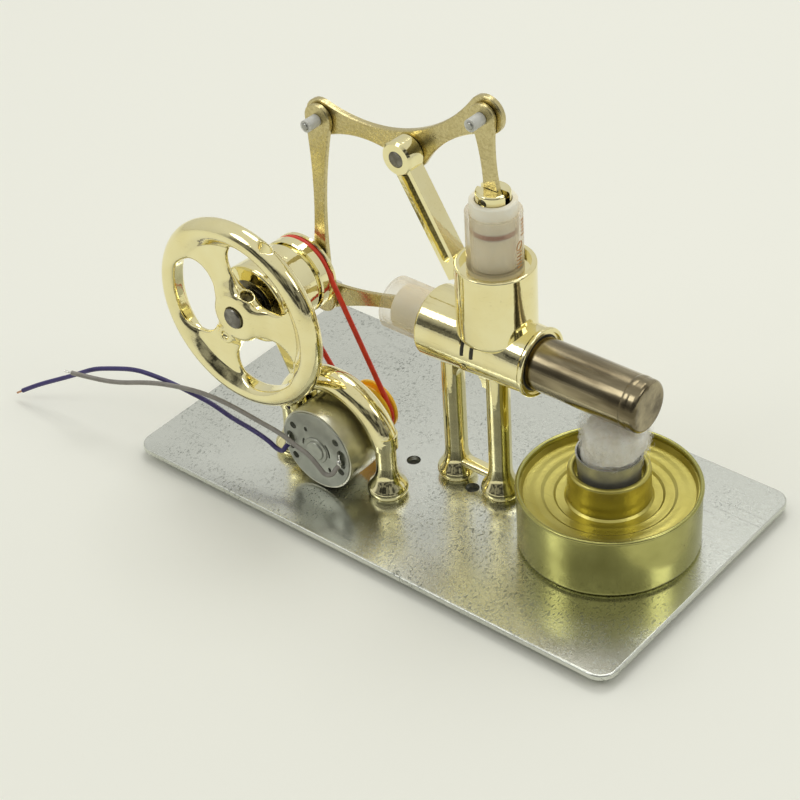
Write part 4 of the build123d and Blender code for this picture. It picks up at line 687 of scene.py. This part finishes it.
def makeScale(v):
    def onBarrel(angle, height):
        a = math.radians(angle)
        return [c / 1000 for c in (v["axis"][0] + v["radius"] * math.cos(a),
                                   v["axis"][1] + v["radius"] * math.sin(a), height)]

    paths = []
    for row in v["rows"]:
        angles = [row["from"] + (row["to"] - row["from"]) * i / (v["markPoints"] - 1)
                  for i in range(v["markPoints"])]
        for k in range(row["count"]):
            paths.append([onBarrel(angle, row["low"] + k * v["pitch"]) for angle in angles])
    ring = []
    for i in range(v["noughtPoints"]):
        t = math.tau * i / v["noughtPoints"]
        lean = v["noughtLean"] * math.sin(t)
        ring.append(onBarrel(v["nought"][0] + v["noughtSize"][0] * math.cos(t) + lean,
                             v["nought"][1] + v["noughtSize"][1] * math.sin(t)))
    paths.append(ring)
    data = tubes("barrel_scale", paths, v["line"], corners=2, steps=6, closed=(len(paths) - 1,))
    newPiece("barrel_scale", data, "scaleInk", "frame")


makeScale(scaleMarks)
print("scale marked")


# cotton wick: a soft lumpy core with loose fibres standing off it
cotton = {"colour": (0.95, 0.93, 0.84), "shade": (0.80, 0.75, 0.61), "pale": (0.97, 0.97, 0.93),
          "paleShare": 0.45, "cloudScale": 260.0, "cloudStretch": (1, 1, 0.45), "strandScale": 1100.0,
          "strandStretch": (1, 1, 0.12), "strandDetail": 6.0, "bump": 0.3, "depth": 0.0003, "rough": 0.95,
          "gloss": 0.15, "sheen": 0.4, "glow": 0.6, "glowRadius": (1.0, 0.92, 0.75), "glowDepth": 0.004}


def cottonFinish(v):
    mat, tree, shader, coords = newMaterial("cotton")
    cloud = fillGroup(tree, grain, {"Vector": coords, "Scale": v["cloudScale"], "Stretch": v["cloudStretch"],
                                    "Low": 0.3, "High": 0.7})
    strands = fillGroup(tree, grain, {"Vector": coords, "Scale": v["strandScale"],
                                      "Stretch": v["strandStretch"], "Detail": v["strandDetail"],
                                      "Low": 0.3, "High": 0.7})
    tint = mixColour(tree, cloud, v["colour"], v["shade"])
    tint = mixColour(tree, number(tree, "MULTIPLY", strands, v["paleShare"]), tint, v["pale"])
    tree.links.new(tint, shader.inputs["Base Color"])
    bump = put(tree, "ShaderNodeBump", {"Height": number(tree, "ADD", strands, cloud), "Strength": v["bump"],
                                        "Distance": v["depth"]})
    tree.links.new(bump.outputs["Normal"], shader.inputs["Normal"])
    setPlain(shader, {"Roughness": v["rough"], "Specular IOR Level": v["gloss"], "Sheen Weight": v["sheen"]})
    setGlow(shader, v["glow"], v["glowRadius"], v["glowDepth"])
    return mat


mats["cotton"] = cottonFinish(cotton)

# the core's outline is in millimetres; everything else is in metres
wickShape = {"axis": (0.0508, 0.0015), "shift": 0.0018, "shiftFrom": 0.0325, "shiftTo": 0.0362, "steps": 160,
             "profile": [(0, 23.4), (5.5, 23.4), (7.2, 24.0), (7.5, 26.5), (7.5, 29.5), (7.4, 32.0),
                         (7.5, 33.2), (7.8, 34.6), (8.0, 36.2), (8.05, 38.0), (8.0, 40.0), (7.8, 41.6),
                         (7.0, 42.8), (5.2, 43.5), (2.6, 43.8), (0, 43.9)],
             "rootTop": 0.0325, "rootFade": 0.002, "rootShare": 0.25, "lump": 0.0007,
             "lumpScales": (210, 520), "strand": 0.00022, "strandAcross": 2600, "strandAlong": 260}
fibreShape = {"seed": 11, "count": 1500, "length": (0.0012, 0.0034), "radius": 0.000028, "low": 0.0330,
              "high": 0.0434, "sink": 0.0004, "drift": (-0.6, 1.1), "lift": (0.05, 0.42),
              "bendSide": (-0.5, 0.5), "bendUp": (-0.4, 0.5), "stand": 0.25, "curl": 2.4, "points": 5,
              "ceiling": 0.0450, "holderTop": 0.0345, "holderReach": 0.0083, "holderEdge": 0.0336}


def wickLean(height):
    return ease(height, wickShape["shiftFrom"], wickShape["shiftTo"], wickShape["shift"])


def makeTuft(v):
    bm = bmesh.new()
    rows = [bm.verts.new((r / 1000, 0, z / 1000)) for r, z in v["profile"]]
    edges = [bm.edges.new(pair) for pair in zip(rows, rows[1:])]
    bmesh.ops.subdivide_edges(bm, edges=edges, cuts=3)
    bmesh.ops.spin(bm, geom=bm.verts[:] + bm.edges[:], cent=(0, 0, 0), axis=(0, 0, 1), angle=math.tau,
                   steps=v["steps"], use_merge=True, use_duplicate=False)
    bmesh.ops.remove_doubles(bm, verts=bm.verts, dist=1e-6)
    bmesh.ops.recalc_face_normals(bm, faces=bm.faces)
    bm.normal_update()
    coarse, small = v["lumpScales"]
    for vert in bm.verts:
        free = min(max((vert.co.z - v["rootTop"]) / v["rootFade"], v["rootShare"]), 1)
        lump = noise.noise(vert.co * coarse) + 0.5 * noise.noise(vert.co * small)
        strand = noise.noise(Vector((vert.co.x * v["strandAcross"], vert.co.y * v["strandAcross"],
                                     vert.co.z * v["strandAlong"])))
        vert.co += vert.normal * free * (v["lump"] * lump + v["strand"] * strand)
        vert.co.x += wickLean(vert.co.z)
    bmesh.ops.translate(bm, verts=bm.verts, vec=(*v["axis"], 0))
    tuft = newPiece("wick_tuft", meshFrom(bm, "wick_tuft"), "cotton", "lamp")
    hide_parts("wick")


def makeFibres(v, core):
    dice = random.Random(v["seed"])
    heights = [z / 1000 for r, z in core["profile"][1:-1]]
    middle = Vector(core["axis"])
    paths = []
    while len(paths) < v["count"]:
        z = dice.uniform(v["low"], v["high"])
        k = max(i for i, h in enumerate(heights) if h <= z)
        r = core["profile"][k + 1][0] / 1000 - v["sink"]
        a = dice.uniform(0, math.tau)
        out = Vector((math.cos(a), math.sin(a), 0))
        start = out * r + Vector((core["axis"][0] + wickLean(z), core["axis"][1], z))
        side = Vector((-out.y, out.x, 0))
        drift = side * dice.uniform(-1, 1) + Vector((0, 0, dice.uniform(*v["drift"])))
        drift.normalize()
        length = dice.uniform(*v["length"])
        rise = v["stand"] + dice.uniform(*v["lift"])
        bend = side * dice.uniform(*v["bendSide"]) + Vector((0, 0, dice.uniform(*v["bendUp"])))
        steps = [i / (v["points"] - 1) for i in range(v["points"])]
        path = [start + drift * length * t + bend * length * t * t
                + out * length * rise * math.sin(v["curl"] * t) for t in steps]
        # a fibre stays under the hot cap, and inside the holder where it starts low
        inside = all((p.xy - middle).length < v["holderReach"] or p.z > v["holderEdge"] for p in path)
        if max(p.z for p in path) < v["ceiling"] and (z > v["holderTop"] or inside):
            paths.append(path)
    fibres = tubes("wick_fibres", paths, v["radius"], corners=0, steps=2)
    newPiece("wick_fibres", fibres, "cotton", "lamp", smooth=False)


makeTuft(wickShape)
makeFibres(fibreShape, wickShape)
print("wick made")


# stage
def makeFloor(s):
    bm = bmesh.new()
    bmesh.ops.create_grid(bm, x_segments=1, y_segments=1, size=s["floorSize"])
    data = bpy.data.meshes.new("floor")
    bm.to_mesh(data)
    bm.free()
    mat, tree, shader, coords = newMaterial("floor")
    setPlain(shader, {"Base Color": (*s["floorColour"], 1), "Roughness": s["floorRough"],
                      "Specular IOR Level": s["floorGloss"]})
    data.materials.append(mat)
    floor = bpy.data.objects.new("floor", data)
    floor.location = (0, 0, -s["floorDrop"])
    scene.collection.objects.link(floor)


def makeWorld(s):
    # A pale backdrop and ceiling, with the dim room on the side that the camera stands on.
    world = bpy.data.worlds.new("studio")
    scene.world = world
    world.use_nodes = True
    tree = world.node_tree
    tree.nodes.clear()
    direction = put(tree, "ShaderNodeTexCoord").outputs["Generated"]
    height = put(tree, "ShaderNodeSeparateXYZ", {0: direction}).outputs["Z"]
    a = math.radians(s["azimuth"])
    facing = put(tree, "ShaderNodeVectorMath", {0: direction, 1: (math.sin(a), -math.cos(a), 0)},
                 operation="DOT_PRODUCT").outputs["Value"]
    near = spread(tree, facing, *s["roomSide"])
    low = spread(tree, height, s["roomTop"], s["roomTop"] - s["roomTopFade"])
    off = spread(tree, height, *s["roomFoot"])
    clutter = put(tree, "ShaderNodeTexNoise", {"Vector": direction, "Scale": s["clutterScale"],
                                               "Detail": s["clutterDetail"]}).outputs["Fac"]
    dark = number(tree, "MULTIPLY", number(tree, "MULTIPLY", near, low), off)
    pale = spread(tree, height, 0.0, s["skyFrom"], s["backdrop"], s["sky"])
    room = spread(tree, clutter, *s["clutterRange"], s["room"], s["roomLight"])
    level = number(tree, "ADD", number(tree, "MULTIPLY", pale, number(tree, "SUBTRACT", 1.0, dark)),
                   number(tree, "MULTIPLY", room, dark))
    power = number(tree, "MULTIPLY", level, s["worldPower"])
    light = put(tree, "ShaderNodeBackground", {"Color": (*s["worldColour"], 1), "Strength": power})
    tree.links.new(light.outputs[0], put(tree, "ShaderNodeOutputWorld").inputs["Surface"])


def areaLight(name, v, aim):
    data = bpy.data.lights.new(name, "AREA")
    data.shape, data.size, data.energy = "DISK", v["size"], v["power"]
    lamp = bpy.data.objects.new(name, data)
    lamp.location = v["place"]
    lamp.rotation_euler = (Vector(v["place"]) - Vector(aim)).to_track_quat("Z", "Y").to_euler()
    scene.collection.objects.link(lamp)


makeFloor(studio)
makeWorld(studio)
for name, v in lamps.items():
    areaLight(name, v, studio["lampsAim"])
print("stage and lights set")
